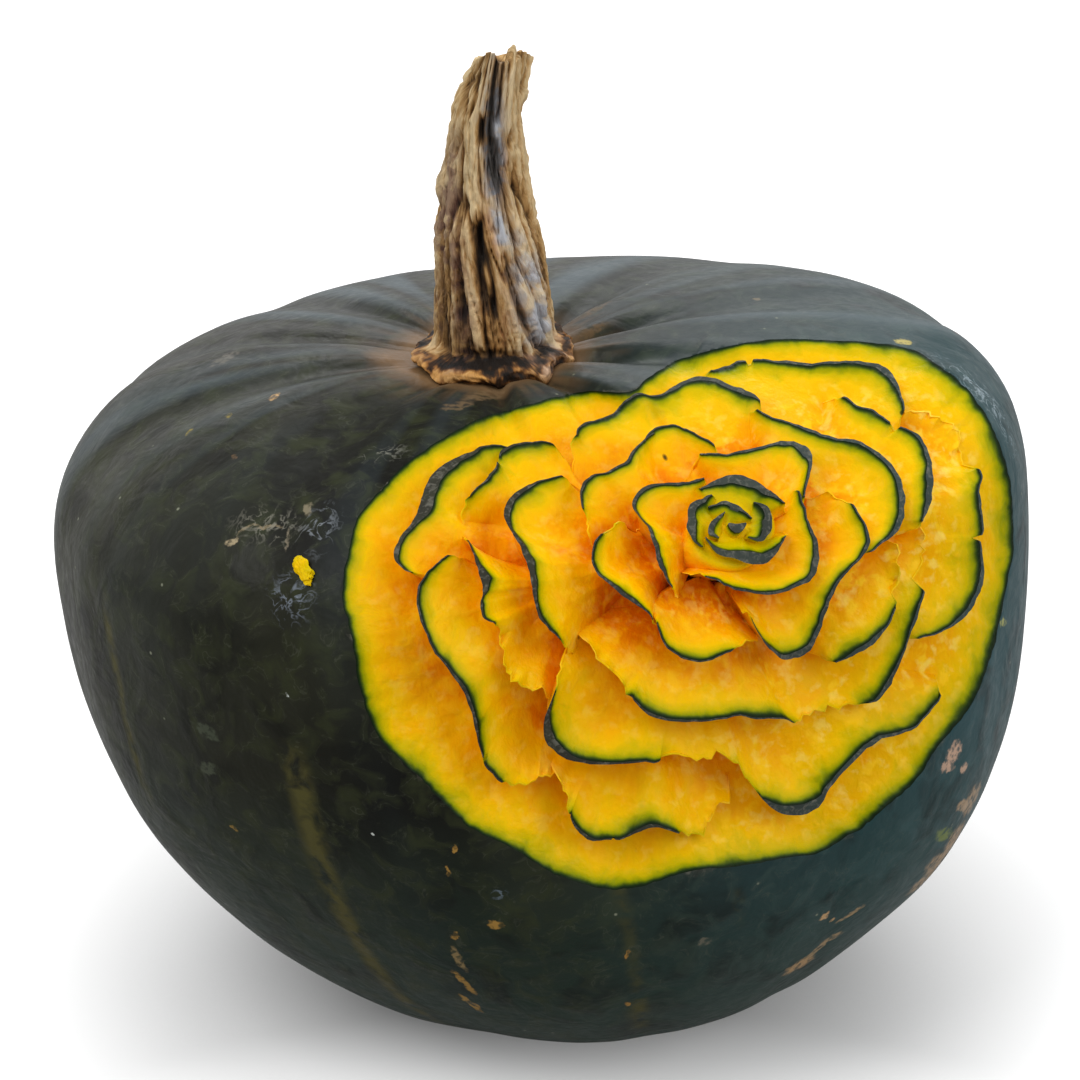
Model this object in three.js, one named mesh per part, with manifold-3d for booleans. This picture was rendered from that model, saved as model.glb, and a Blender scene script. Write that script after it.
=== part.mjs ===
// A buttercup squash with a rose carved into its shoulder, in millimetres, +Z up.
//
// The fruit grew as one piece, and the rose is cut into it, so the petals are the fruit's own flesh
// and rind. Its dry stem and a scrap of flesh that sticks to the rind are the only separate pieces.
// The origin is the middle of the flat patch that the fruit rests on. The rose faces -Y.
import * as THREE from 'three';
import { mergeVertices } from 'three/addons/utils/BufferGeometryUtils.js';
import Module from 'manifold-3d';

// ---- driving dimensions ----

const DEGREE = Math.PI / 180;
const GAP = 0.35;                                   // clearance between two separate pieces
const RIND_KEPT = 2;                                // how far a petal's pattern stands above the rind

const FRUIT = {
  centre: new THREE.Vector3(6.3, -2.4, 97.6),       // of the radial shape, above the resting patch
  leanLeft: 6.1 * DEGREE, leanBack: 3 * DEGREE,     // of the stem end
  girth: 90,                                        // radius at the widest level
  shoulder: 41.5, shoulderFullness: 3.1,            // height above that level, and how square it is
  belly: 99.5, bellyFullness: 2.25,                 // depth below it
  skewX: -0.088, skewY: 0.08, oval: 0.055,          // one side fuller than the other, and out of round
  stemAt: new THREE.Vector3(-17.24, -1.03, 35.81),  // where the stem stands, off the fruit's axis
  aroundSegments: 60, upSegments: 30,
};
const STEM_DIMPLE = { depth: 5, radius: 22 };
const BLOSSOM_DIMPLE = { depth: 2.5, radius: 7 };
// Furrows run from the stem to the blossom end. They wander, and are sharper than a wave. They are
// deepest on the shoulder, about the distance peak from the stem, and fade out towards the stem.
const FURROW = {
  count: 10, depth: 2.4, sharpness: 3, wander: 0.7, sway: 0.4,
  shoulder: 1.15, everywhere: 0.35, peak: 0.55, spread: 0.3, fadeIn: 0.35,
};

// The rose is laid out in a flat plan that looks down on the shoulder from in front: u runs to the
// right and v up the fruit, in millimetres from the bud, seen from one eye point.
const PLAN = {
  eye: new THREE.Vector3(-8.3, -533.5, 247.1),      // from the fruit's centre
  lookDown: 25 * DEGREE, distance: 518.4, budRight: 33.7, budUp: 2.6,
};
// A hollow falls towards its full depth over its reach. Stations are shares of the way in.
const CRATER = {
  depth: 12, reach: 11, clearance: 8, centre: [-8, -14], across: 50, around: 46,
  stations: [0, 0.09, 0.22, 0.5],
};
const PETAL = { depth: 8.5, reach: 8.5, root: 15, undercut: 2.6, step: 8.5, stations: [0, 0.3, 0.92] };
const BUD_LEAF = { depth: 2.2, reach: 1.7, root: 4, undercut: 0.6, step: 3.8, stations: [0, 0.92] };
const LEAST = { strip: 0.25, edge: 0.3, sections: 6 };
const BUD = { radius: 7.6, flare: 1.6, top: 1.9, shoulder: 0.8, bevel: 0.12, core: 0.4, root: 9, around: 14 };

const STEM = {
  // [height above the fruit, offset to the right, radius]
  line: [[-7, 0, 12.5], [0, 0, 13.9], [2, 0, 14.1], [4.4, 0.2, 12.2], [9, 0.2, 10.9], [18, -0.1, 10.2],
    [28, -1, 9.4], [35, -1.1, 8.1], [39, -1.2, 7.5], [50, -0.8, 6.5], [60, 0.9, 6.3], [67, 2, 6.1]],
  ridges: { count: 7, height: 0.13, evenness: 0.6, twist: 0.016, crowding: 0.8 },
  outOfRound: { share: 0.05, lobes: 3, twist: 0.09 },
  around: 21, levels: 15,
  saw: { height: 59, lowSide: 0.3, width: 60, thickness: 40 },
};
// A scrap of flesh, [length, width, thickness], at a plan point. Its length slants down to the right.
const CRUMB = { at: [-74.9, -7.2], size: [6, 3.6, 2.4], slant: -0.9, sunk: 0.15 };
const PATCH = { across: 200, depth: 60 };           // the block that flattens the resting patch

// The cut edge of the rose, [u, v], anticlockwise from the right.
const OUTLINE = [
  [48, -3], [48, 3], [46.7, 10.5], [43.5, 18], [39.6, 23], [35, 27], [30, 30], [23.8, 31.2], [12, 31.8],
  [4.3, 31.4], [-3.5, 30], [-10.5, 28], [-15.5, 25], [-17.5, 23.4], [-26, 23], [-31, 22], [-38.7, 19.5],
  [-44, 18], [-54.3, 12], [-60.7, 6.4], [-65, 1], [-66.8, -5], [-67.7, -11.6], [-66, -21], [-63.8, -31],
  [-60.7, -37.3], [-53.6, -44.4], [-46.5, -51.3], [-38.7, -55.8], [-29.4, -61], [-23, -62.6],
  [-16.8, -62.3], [-9.7, -60], [4.3, -58.1], [14.5, -56.2], [19.2, -53.4], [23.8, -49.9], [30.9, -43.5],
  [34, -39], [39.6, -32], [43.5, -23.5], [46, -14.5],
];

// Each petal is a leaf of flesh that leans out from its root. Its rim is a list of
// [u, v, width of the strip of rind left on it, top], anticlockwise about the root. A rim with no top
// keeps its rind; a negative top says how far below the rind the flesh is torn or dives under.
const PETALS = {
  inner_top: { root: [2, 2], rim: [
    [11.4, 3.6, 0.3, -5], [12.2, 6, 0.7], [12.9, 8.5, 0.9], [13.4, 11.2, 1.1], [12.9, 12.9, 2],
    [10.3, 14.2, 1.1], [7, 14.4, 0.9], [3.5, 13.4, 0.8], [-1, 12.4, 0.6], [-4.6, 12.2, 0.5],
    [-7, 11.6, 0.3, -6]] },
  inner_right: { root: [1, -0.5], rim: [
    [-6.5, -8.5, 0.3, -5.5], [-3.4, -9.6, 0.5], [0, -11.2, 0.7], [4.9, -12, 0.8], [10.4, -10.9, 0.9],
    [13.4, -9, 1.3], [14.4, -6, 1.4], [14, -2.4, 1.1], [12.9, 0.2, 0.7], [11.6, 4, 0.4],
    [10.5, 6.5, 0.2, -4]] },
  inner_left: { root: [-4, 1], rim: [
    [-4.6, 8.2, 0.3, -3], [-6.6, 7.8, 0.8], [-9.5, 7.3, 0.8], [-13.1, 7.2, 0.9], [-16.3, 6.3, 1.1],
    [-17.9, 3.9, 1], [-16.7, 1.5, 0.5], [-15.1, -0.2, 0.7], [-14.1, -3, 0.9], [-13.2, -6.5, 1.3],
    [-12, -9.2, 0.7], [-10, -12, 0.3, -5]] },
  second_top: { root: [-5, 6], rim: [
    [-2.5, 12.6, 0.3, -6], [-5, 14.8, 0.4], [-8.5, 16.7, 0.5], [-10.8, 17.6, 0.6], [-13.2, 17.1, 0.6],
    [-15.2, 15.7, 0.5], [-16.2, 13, 0.3, -5]] },
  second_left: { root: [-8, 3], rim: [
    [-13.2, 16, 0.3, -3], [-15.4, 15.2, 0.5], [-17.3, 13.4, 0.8], [-18.9, 11, 0.8], [-22.1, 9.3, 0.7],
    [-24.9, 8.6, 0.8], [-26.7, 6.4, 0.8], [-26.6, 4, 0.4], [-25.9, 1.2, 0, -1.5], [-24.8, -2.5, 0, -4],
    [-23, -5, 0, -8]] },
  third_left: { root: [-8, -3], rim: [
    [-17.5, 1, 0, -6], [-20.3, -0.2, 0, -1.5], [-22.8, -1.5, 0, -0.5], [-24.4, -3.6, 0.5],
    [-24.8, -5.8, 0.5], [-23.6, -8.5, 0.7], [-20.7, -11.2, 1], [-17.6, -13.6, 1], [-15.3, -15.1, 0.5],
    [-13.9, -17, 0, -2], [-12.3, -20, 0, -6]] },
  second_bottom: { root: [-2, -7], rim: [
    [-13.6, -15.6, 0, -5], [-13.1, -18.4, 0.6], [-12.1, -20.8, 0.6], [-9.6, -22.7, 0.4],
    [-6.3, -23.6, 0.3], [-3.2, -22.8, 0.3], [0, -21.1, 0, -0.8], [2.4, -20, 0, -2], [5, -19.5, 0, -6]] },
  second_right: { root: [4, -3], rim: [
    [2.2, -15.5, 0, -4], [3.5, -18, 0.4], [5.6, -21, 0.8], [7.8, -22.9, 1.2], [10.6, -23.1, 1.4],
    [13.2, -21.4, 1.5], [14.7, -18, 1.2], [15.7, -14.8, 1.1], [17, -11.5, 0.9], [19.4, -8, 0.7],
    [21.9, -5.6, 0.8], [23.2, -3.2, 1], [23, -0.8, 0.8], [21.7, 1.2, 0.4], [19.4, 3.9, 0, -0.8],
    [16, 5.4, 0, -1.8], [12.5, 5.3, 0, -5]] },
  third_top: { root: [-4, 7], rim: [
    [5.5, 20, 0, -6], [2.7, 22.8, 1], [0.2, 23.9, 1.1], [-3.5, 25.3, 1], [-7.5, 25.5, 1],
    [-11.5, 23.5, 0.8], [-14, 22.6, 0.6], [-16.6, 22.9, 0.7], [-18.9, 21.8, 0.7], [-21.5, 19.3, 0.6],
    [-26.3, 17.4, 0.7], [-28, 14, 0, -7]] },
  third_right: { root: [5, 1], rim: [
    [21.5, -5.5, 0, -6], [24.8, -3.6, 0.7], [27.8, -1.4, 1.2], [29.2, 2, 1.3], [29.3, 5.5, 1.3],
    [27.8, 9.4, 1.1], [25.2, 12.2, 1], [21.7, 14.4, 1], [16.8, 15.2, 0.8], [12.5, 16.6, 0.8],
    [9, 17.9, 0.5], [5.8, 18.5, 0.3], [1.5, 19.4, 0, -3.5], [-2, 20, 0, -8]] },
  third_bottom_right: { root: [9, -6], rim: [
    [12.5, -22.5, 0, -6], [15.5, -23.4, 0, -2.2], [18.6, -23.3, 0.5], [21.4, -22.1, 1.1],
    [24.1, -20.1, 1.2], [26.3, -17, 0.5], [27.6, -12.5, 0, -1.5], [28.2, -7.5, 0, -2.2],
    [27.5, -3.5, 0, -3], [25.5, -1, 0, -7]] },
  third_bottom: { root: [2, -8], rim: [
    [-27.5, -19, 0, -7], [-24.8, -22, 0, -3.2], [-21.2, -25.2, 0, -2.6], [-18.6, -28.4, 0, -1.4],
    [-17.3, -30.5, 0.6], [-14.6, -33, 0.9], [-10.2, -34, 0.9], [-5, -33.9, 0.7], [0.5, -33.1, 0.6],
    [4, -33.6, 0.6], [8.2, -33.5, 0.4], [10.5, -34, 0, -1.5], [13.5, -32.7, 0, -2.2], [18, -31.5, 0, -2],
    [22, -30.7, 0, -1.2], [24.6, -30.1, 0.8], [26.8, -27.9, 1.2], [28.4, -24.3, 0.9], [29.9, -20.2, 0.5],
    [31.2, -16.4, 0.9], [32.2, -13, 0.8], [31.5, -9, 0, -2.5], [32.6, -5, 0, -3], [32.4, -1.5, 0, -3],
    [31, 2, 0, -7]] },
  third_far_left: { root: [-12, -2], rim: [
    [-28.5, 8.6, 0, -6], [-32, 8, 0.4], [-35.2, 7.2, 1], [-38.6, 5.2, 1.4], [-40, 2.4, 1.5],
    [-39, -0.6, 0.8], [-37.5, -3, 1.1], [-36, -6.5, 1.6], [-35.2, -10, 1.3], [-34.8, -13.4, 0.9],
    [-33.5, -16.6, 0.8], [-32.1, -17.9, 0.4], [-29.8, -20.6, 0, -2], [-28, -23.5, 0, -6]] },
  outer_top: { root: [6, 6], rim: [
    [29.2, 18, 0, -6], [28.9, 21.4, 0.5], [28.3, 24.3, 1.1], [26.7, 26.6, 1.4], [23.7, 28, 1.1],
    [19, 28.3, 0.8], [12.5, 28, 0.8], [7.5, 28.3, 0.7], [4.5, 28.5, 0.4], [2.5, 28.1, 0, -0.8],
    [0.6, 28, 0.4], [-2.2, 26.9, 0.3], [-6, 26, 0, -6]] },
  outer_right: { root: [9, 2], rim: [
    [31.2, -0.5, 0, -6], [33, 2.2, 0.9], [34, 5.3, 1.5], [34, 9.5, 1.3], [33.2, 13.1, 1],
    [31.6, 15.5, 0.8], [29.5, 16.5, 0.4], [27.6, 16.9, 0, -1.5], [25.6, 18.5, 0.4], [23.2, 20, 0.5],
    [20.8, 20.4, 0.4], [16.5, 21.5, 0, -2.5], [12, 22.5, 0, -8]] },
  rim_right: { root: [12, -3], rim: [
    [30, -20, 0, -6], [33.6, -19.1, 0.4], [36.4, -18.2, 0.6], [39.2, -16.6, 1], [41.4, -14, 1.1],
    [42.9, -10.4, 1.1], [43.3, -6.8, 0.9], [42.5, -3.6, 0.6], [42.5, -2.2, 0, -1.2], [43, -0.8, 0.6],
    [42.6, 3, 0.8], [42.2, 6.3, 0.7], [42.2, 8.2, 0.4], [40.3, 10.8, 0, -2.5], [39, 14, 0, -3],
    [37.4, 17, 0, -3], [33.5, 18.6, 0, -2.8], [29, 19.3, 0, -4], [26, 19.5, 0, -8]] },
  outer_bottom: { root: [1, -14], rim: [
    [-28.5, -21, 0, -7], [-30.2, -24, 0, -3], [-30.9, -27.2, 0, -2], [-31.9, -30.4, 0.6],
    [-33.2, -34.5, 1.6], [-32.8, -37.2, 2.1], [-30.3, -39.9, 1.6], [-26, -41.2, 1.1], [-21, -41.4, 0.9],
    [-16.5, -41.1, 0.8], [-13.7, -40.9, 0.4], [-12.6, -40, 0, -1.5], [-9.5, -39.7, 0, -2],
    [-6.2, -40.6, 0, -2], [-3.6, -39.4, 0, -2.4], [-0.6, -40.4, 0, -2.2], [1.8, -43.4, 0, -1.6],
    [3.8, -46.2, 0, -0.6], [5.7, -48.4, 1.2], [7.8, -49.8, 2], [10.8, -50.1, 2.1], [14.3, -48.8, 1.7],
    [16.2, -45.6, 1.1], [18.4, -43, 1], [21.7, -39.6, 1.2], [24.4, -37.5, 1.2], [28.4, -36, 0.9],
    [31.4, -35.1, 0.8], [32.8, -33.1, 0.5], [34.4, -31.2, 0.4], [36.5, -28, 0, -6]] },
  outer_left: { root: [-20, -5], rim: [
    [-47, -1.5, 0, -6], [-45.4, -4.5, 0.5], [-44.7, -6.8, 1], [-43.9, -9.5, 2], [-43.5, -11.5, 1.2],
    [-43.8, -12.6, 0.4], [-44, -14, 0.8], [-43.7, -15.9, 0.7], [-42.7, -16.6, 0.4], [-40.9, -17.5, 0, -2],
    [-40.5, -20.5, 0, -2.5], [-39.8, -24.6, 0, -2.2], [-37.1, -27.1, 0, -2], [-34.3, -28.5, 0, -2.6],
    [-32, -29.5, 0, -4], [-29.5, -31, 0, -8]] },
  outer_top_left: { root: [-22, 4], rim: [
    [-30, 13.5, 0, -6], [-33.4, 14.5, 0.5], [-36.4, 14.3, 0.7], [-38.8, 13.9, 0.8], [-40.3, 12.8, 0.9],
    [-40.9, 11.3, 0, -0.8], [-41.5, 9.8, 0.6], [-43, 7.9, 0.8], [-44.7, 6, 0.4], [-46.5, 3, 0, -2],
    [-47.2, 1, 0, -3.5], [-47, -2.5, 0, -7]] },
  rim_left: { root: [-28, 1], rim: [
    [-38, 12.8, 0, -6], [-40.8, 13.5, 0.4], [-43.5, 13.4, 0.6], [-47, 12.1, 1.3], [-50.2, 10.4, 1.9],
    [-52.6, 8.2, 2.3], [-54, 5.3, 2.7], [-54.8, 2.6, 2.5], [-55.9, 0.4, 1.6], [-57.6, -1.7, 1.2],
    [-59, -4.2, 1.4], [-58.8, -6.2, 1], [-57, -8, 0.5], [-54.6, -8.8, 0, -2.5], [-52.5, -9.5, 0, -7]] },
  rim_lower_left: { root: [-24, -12], rim: [
    [-48.5, -4.8, 0, -6], [-51, -6.2, 0.4], [-53.4, -8.2, 0.6], [-54.8, -10.6, 0.7], [-55.1, -13.5, 0.7],
    [-54.2, -17, 0.7], [-52.4, -20.8, 0.5], [-49.8, -24.8, 0.8], [-47.4, -28, 1.1], [-46, -31, 1],
    [-45, -35, 1], [-44, -39.2, 0.4], [-43.4, -40.6, 0, -0.8], [-42.8, -41.9, 0.5], [-41.3, -43.5, 0.4],
    [-39.3, -44.1, 0, -1.6], [-36, -44.8, 0, -2.2], [-33.4, -43.6, 0, -3], [-31, -42.6, 0, -4.5],
    [-28, -42, 0, -8]] },
  rim_bottom: { root: [-12, -28], rim: [
    [-32, -41, 0, -7], [-30.6, -43.6, 0, -3], [-29.3, -46.6, 0, -2.4], [-28.5, -49, 0, -1],
    [-28.3, -50.8, 0.5], [-27, -53.2, 1], [-24.6, -54.6, 0.8], [-22.3, -54.4, 0.4], [-21, -54.3, 0, -0.6],
    [-19.6, -54.3, 0.5], [-17.2, -53.3, 1], [-14.8, -52.5, 1.1], [-12.6, -52.3, 0.7], [-11, -52.6, 0.4],
    [-9, -52.9, 0, -1.5], [-6, -52.6, 0, -2.5], [-3.5, -50, 0, -3.5], [-1, -47, 0, -5], [0, -43, 0, -9]] },
};

// The small curled leaves that the bud is cut into, written as the petals are.
const BUD_LEAVES = {
  top: { root: [0, 1], rim: [
    [8.6, 3, 0.3, -2.5], [8, 4.3, 0.6], [6, 6, 1.4], [3.2, 7.8, 1.8], [0.4, 8.7, 1.8], [-2.8, 8.2, 1.6],
    [-5.4, 6.7, 0.6], [-6.6, 5.6, 0.2, -2]] },
  left: { root: [-2, 0.5], rim: [
    [-3.6, 5.3, 0.3, -1], [-5.6, 4.7, 1], [-7.5, 3.7, 1.5], [-8.2, 1.1, 1.8], [-8, -1.2, 1.6],
    [-6.7, -3.3, 0.5], [-5.6, -4.4, 0.2, -2]] },
  bottom: { root: [2, -1], rim: [
    [-5.6, -1.8, 0.2, -2], [-4.6, -3, 0.6], [-2.9, -4.9, 1.5], [-0.5, -5.8, 2], [2, -6.6, 2.3],
    [5, -6.8, 2.6], [7, -5.3, 1.6], [8.2, -3.2, 0.6], [8.6, -1.5, 0.2, -2]] },
  inner_top: { root: [-1, 0.5], rim: [
    [3.2, 0.6, 0.2, -2], [2.4, 1.6, 0.5], [1, 2.9, 0.9], [-0.8, 3.9, 1.1], [-2.4, 4.1, 1],
    [-4.1, 3.3, 0.4], [-4.8, 2.4, 0.2, -2]] },
  inner_right: { root: [2.5, 0.5], rim: [
    [1.8, -2.6, 0.2, -2], [2.9, -2.5, 0.6], [4.7, -2.8, 1.2], [5.9, -1.6, 1.6], [6.4, 0.7, 1.8],
    [5.7, 3, 1.5], [3.9, 3.8, 0.5], [2.9, 3.6, 0.2, -2]] },
  inner_left: { root: [-1.5, -0.5], rim: [
    [-1.6, 2.2, 0.2, -2], [-2.4, 1.8, 0.5], [-4, 0.8, 1.1], [-4.7, -1.3, 1.2], [-3.6, -2, 0.8],
    [-2.6, -2.4, 0.2, -2]] },
};
const BUD_TIP = { centre: [0.4, -0.3], radius: 1.3, around: 8 };

// ---- the fruit's skin ----

const fruitAxes = new THREE.Matrix3().setFromMatrix4(
  new THREE.Matrix4().makeRotationX(-FRUIT.leanBack)
    .multiply(new THREE.Matrix4().makeRotationY(-FRUIT.leanLeft)));
const intoFruit = fruitAxes.clone().transpose();
const stemEnd = FRUIT.stemAt.clone().normalize();
const ownStemEnd = stemEnd.clone().applyMatrix3(intoFruit);

/** How far a unit direction, in the fruit's own axes, lies to the side and back of the furrows' pole. */
function fromPole({ x, y, z }) {
  const share = ((1 + z) / (1 + ownStemEnd.z)) ** 2;
  return new THREE.Vector2(x - ownStemEnd.x * share, y - ownStemEnd.y * share);
}

/** Distance of the skin from the fruit's centre, in a unit direction. */
function skinRadius(direction) {
  const own = direction.clone().applyMatrix3(intoFruit);
  const { x, y, z } = own;
  const around = Math.hypot(x, y);
  const [end, fullness] = z > 0
    ? [FRUIT.shoulder, FRUIT.shoulderFullness] : [FRUIT.belly, FRUIT.bellyFullness];
  const round = ((around / FRUIT.girth) ** fullness + (Math.abs(z) / end) ** fullness) ** (-1 / fullness);
  const skewed = round
    * (1 + FRUIT.skewX * x * around + FRUIT.skewY * y * around + FRUIT.oval * (x * x - y * y));
  const off = fromPole(own);
  const dimple = z > 0 ? STEM_DIMPLE : BLOSSOM_DIMPLE;
  return skewed - dimple.depth * Math.exp(-((skewed * off.length() / dimple.radius) ** 2))
    - furrowDepth(off, z);
}

/** Depth of the furrows at a place off their pole, at a level z of the unit sphere. */
function furrowDepth(off, z) {
  const turn = Math.atan2(off.y, off.x);
  const away = off.length();
  const wander = FURROW.wander * Math.sin(2 * turn + 1) + FURROW.sway * Math.sin(3 * turn + 4);
  const groove = ((1 - Math.cos(FURROW.count * turn + wander)) / 2) ** FURROW.sharpness;
  const onShoulder = Math.exp(-(((away - FURROW.peak) / FURROW.spread) ** 2)) * Math.max(0, z);
  const offStem = Math.min(1, away / FURROW.fadeIn) ** 2;
  return FURROW.depth * groove * offStem * (FURROW.shoulder * onShoulder + FURROW.everywhere * away);
}

const fromSkin = (point) => point.length() - skinRadius(point.clone().normalize());

/** The outward normal of the skin under a point. */
function outward(point) {
  const reach = 0.5;
  const slope = (axis) => fromSkin(point.clone().addScaledVector(axis, reach))
    - fromSkin(point.clone().addScaledVector(axis, -reach));
  const axes = [new THREE.Vector3(1, 0, 0), new THREE.Vector3(0, 1, 0), new THREE.Vector3(0, 0, 1)];
  return new THREE.Vector3(...axes.map(slope)).normalize();
}

// ---- the plan of the rose ----

const planRight = new THREE.Vector3(1, 0, 0);
const planUp = new THREE.Vector3(0, Math.sin(PLAN.lookDown), Math.cos(PLAN.lookDown));
const planBack = new THREE.Vector3(0, Math.cos(PLAN.lookDown), -Math.sin(PLAN.lookDown));

/** Unit direction of the line of sight through a plan point. */
function sight([u, v]) {
  return planBack.clone().multiplyScalar(PLAN.distance)
    .addScaledVector(planRight, PLAN.budRight + u).addScaledVector(planUp, PLAN.budUp + v).normalize();
}

/** The plan point that a point on or in the fruit is seen at. */
function planOf(point) {
  const seen = point.clone().sub(PLAN.eye);
  const scale = PLAN.distance / seen.dot(planBack);
  return [seen.dot(planRight) * scale - PLAN.budRight, seen.dot(planUp) * scale - PLAN.budUp];
}

/** The skin point seen through a plan point, found by halving. */
function skinAt(planPoint) {
  const line = sight(planPoint);
  let [near, far] = [PLAN.distance - 90, PLAN.distance + 70];
  for (let halving = 0; halving < 34; halving += 1) {
    const middle = (near + far) / 2;
    if (fromSkin(PLAN.eye.clone().addScaledVector(line, middle)) > 0) near = middle; else far = middle;
  }
  return PLAN.eye.clone().addScaledVector(line, near);
}

/** The point at a height above the skin (negative below it), over a plan point. */
function overSkin(planPoint, height) {
  const point = skinAt(planPoint);
  return point.addScaledVector(outward(point), height);
}

/** Plan point of the skin straight above a point that is seen through planPoint and lies sunk below it. */
function footOf(planPoint, sunk) {
  if (sunk <= 0) return planPoint;
  const point = skinAt(planPoint);
  const normal = outward(point);
  const line = sight(planPoint);
  return planOf(point.addScaledVector(line, -sunk / line.dot(normal)).addScaledVector(normal, sunk));
}

// ---- solids ----

const wasm = await Module();
wasm.setup();

/** A solid from points and triangles, turned so that its faces point out. */
function solidOf(points, triangles) {
  const volume = triangles.reduce((sum, [a, b, c]) =>
    sum + points[a].dot(new THREE.Vector3().crossVectors(points[b], points[c])), 0);
  const outwards = volume > 0 ? triangles : triangles.map(([a, b, c]) => [a, c, b]);
  return new wasm.Manifold(new wasm.Mesh({
    numProp: 3,
    vertProperties: new Float32Array(points.flatMap((point) => point.toArray())),
    triVerts: new Uint32Array(outwards.flat()),
  }));
}

/** A solid from a closed three.js geometry. */
function solidFrom(geometry) {
  geometry.deleteAttribute('normal');
  geometry.deleteAttribute('uv');
  const merged = mergeVertices(geometry, 1e-3);
  return new wasm.Manifold(new wasm.Mesh({
    numProp: 3,
    vertProperties: new Float32Array(merged.attributes.position.array),
    triVerts: new Uint32Array(merged.index.array),
  }));
}

/** The largest of the separate lumps in a solid. */
const mainLump = (solid) => solid.decompose()
  .reduce((kept, lump) => (lump.volume() > kept.volume() ? lump : kept));

/** A named mesh from a solid, moved from the fruit's centre to the part's origin. */
function meshFrom(name, solid, material) {
  const { vertProperties, triVerts } = solid.getMesh();
  const geometry = new THREE.BufferGeometry();
  geometry.setAttribute('position', new THREE.BufferAttribute(vertProperties, 3));
  geometry.setIndex(new THREE.BufferAttribute(triVerts, 1));
  geometry.computeVertexNormals();
  const mesh = new THREE.Mesh(geometry, material);
  mesh.name = name;
  mesh.position.copy(FRUIT.centre);
  return mesh;
}

/** The whole fruit before it is carved, grown outwards by an allowance. */
function bodySolid(allowance = 0) {
  const sphere = new THREE.SphereGeometry(1, FRUIT.aroundSegments, FRUIT.upSegments);
  sphere.rotateX(Math.PI / 2);
  const spots = sphere.attributes.position;
  for (let spot = 0; spot < spots.count; spot += 1) {
    const direction = new THREE.Vector3().fromBufferAttribute(spots, spot);
    direction.applyMatrix3(fruitAxes).normalize();
    const reach = skinRadius(direction) + allowance;
    spots.setXYZ(spot, direction.x * reach, direction.y * reach, direction.z * reach);
  }
  return solidFrom(sphere);
}

/** Triangles between numbered corners, section by section; both ways can join up with their start. */
function joinSections(sections, corners, { sectionsClose, cornersClose }) {
  const triangles = [];
  for (let section = 0; section < (sectionsClose ? sections : sections - 1); section += 1) {
    const next = (section + 1) % sections;
    for (let corner = 0; corner < (cornersClose ? corners : corners - 1); corner += 1) {
      const beside = (corner + 1) % corners;
      const [a, b] = [section * corners + corner, section * corners + beside];
      const [c, d] = [next * corners + corner, next * corners + beside];
      triangles.push([a, b, c], [b, d, c]);
    }
  }
  return triangles;
}

/** How far below the skin a hollow has fallen, at a distance in from its rim. */
const hollowAt = (shape, inwards) => shape.depth * (1 - Math.exp(-inwards / shape.reach));

/** The profile of one petal, as [distance in from the rim, height over the skin]. */
function petalProfile(shape, reach, strip, top) {
  const rim = Math.min(top, 0);
  const edge = Math.min(Math.max(strip, LEAST.strip), reach / 2);
  const inner = shape.stations.map((station) => station * (reach - edge));
  const rise = Math.max(top, rim + LEAST.edge);
  return [
    [0, rise],
    [shape.undercut, rim - shape.root],
    [edge + inner.at(-1), rim - shape.root],
    ...inner.toReversed().map((inwards) => [edge + inwards, rim - hollowAt(shape, inwards)]),
    [edge, rise],
  ];
}

/** The plan point a share of the way from one to another. */
const between = (from, to, share) => from.map((place, axis) => place + (to[axis] - place) * share);

/** One petal or bud leaf, swept along its rim and fanned in towards its root. */
function petalSolid(shape, { root, rim }) {
  const places = rim.map(([u, v, , top = RIND_KEPT]) => new THREE.Vector3(u, v, top));
  const curve = new THREE.CatmullRomCurve3(places, false, 'centripetal');
  const sections = Math.max(LEAST.sections, Math.round(curve.getLength() / shape.step));
  const points = [];
  let profile;
  for (let section = 0; section < sections; section += 1) {
    const along = (section / (sections - 1)) * (rim.length - 1);
    const before = Math.min(Math.floor(along), rim.length - 2);
    const strip = THREE.MathUtils.lerp(rim[before][2], rim[before + 1][2], along - before);
    const place = curve.getPoint(along / (rim.length - 1));
    const foot = footOf([place.x, place.y], -place.z);
    const reach = Math.hypot(foot[0] - root[0], foot[1] - root[1]);
    profile = petalProfile(shape, reach, strip, place.z);
    for (const [inwards, height] of profile) {
      points.push(overSkin(between(foot, root, inwards / reach), height));
    }
  }
  const corners = profile.length;
  const triangles = joinSections(sections, corners, { cornersClose: true });
  const contour = profile.map(([inwards, height]) => new THREE.Vector2(inwards, height));
  const cap = THREE.ShapeUtils.triangulateShape(contour, []);
  const last = (sections - 1) * corners;
  const facing = THREE.ShapeUtils.isClockWise(contour) ? cap : cap.map((ends) => ends.toReversed());
  for (const [a, b, c] of facing) {
    triangles.push([a, b, c], [c + last, b + last, a + last]);
  }
  return solidOf(points, triangles);
}

/** A closed round of plan points swept through a profile and closed on its centre, below and above. */
function roundSolid(ring, centre, profile) {
  const points = ring.flatMap((place) =>
    profile.map(([share, height]) => overSkin(between(place, centre, share), height)));
  const corners = profile.length;
  const triangles = joinSections(ring.length, corners, { sectionsClose: true });
  const below = points.push(overSkin(centre, profile[0][1])) - 1;
  const above = points.push(overSkin(centre, profile.at(-1)[1])) - 1;
  for (let section = 0; section < ring.length; section += 1) {
    const [here, next] = [section * corners, ((section + 1) % ring.length) * corners];
    triangles.push([below, here, next], [above, next + corners - 1, here + corners - 1]);
  }
  return solidOf(points, triangles);
}

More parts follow.
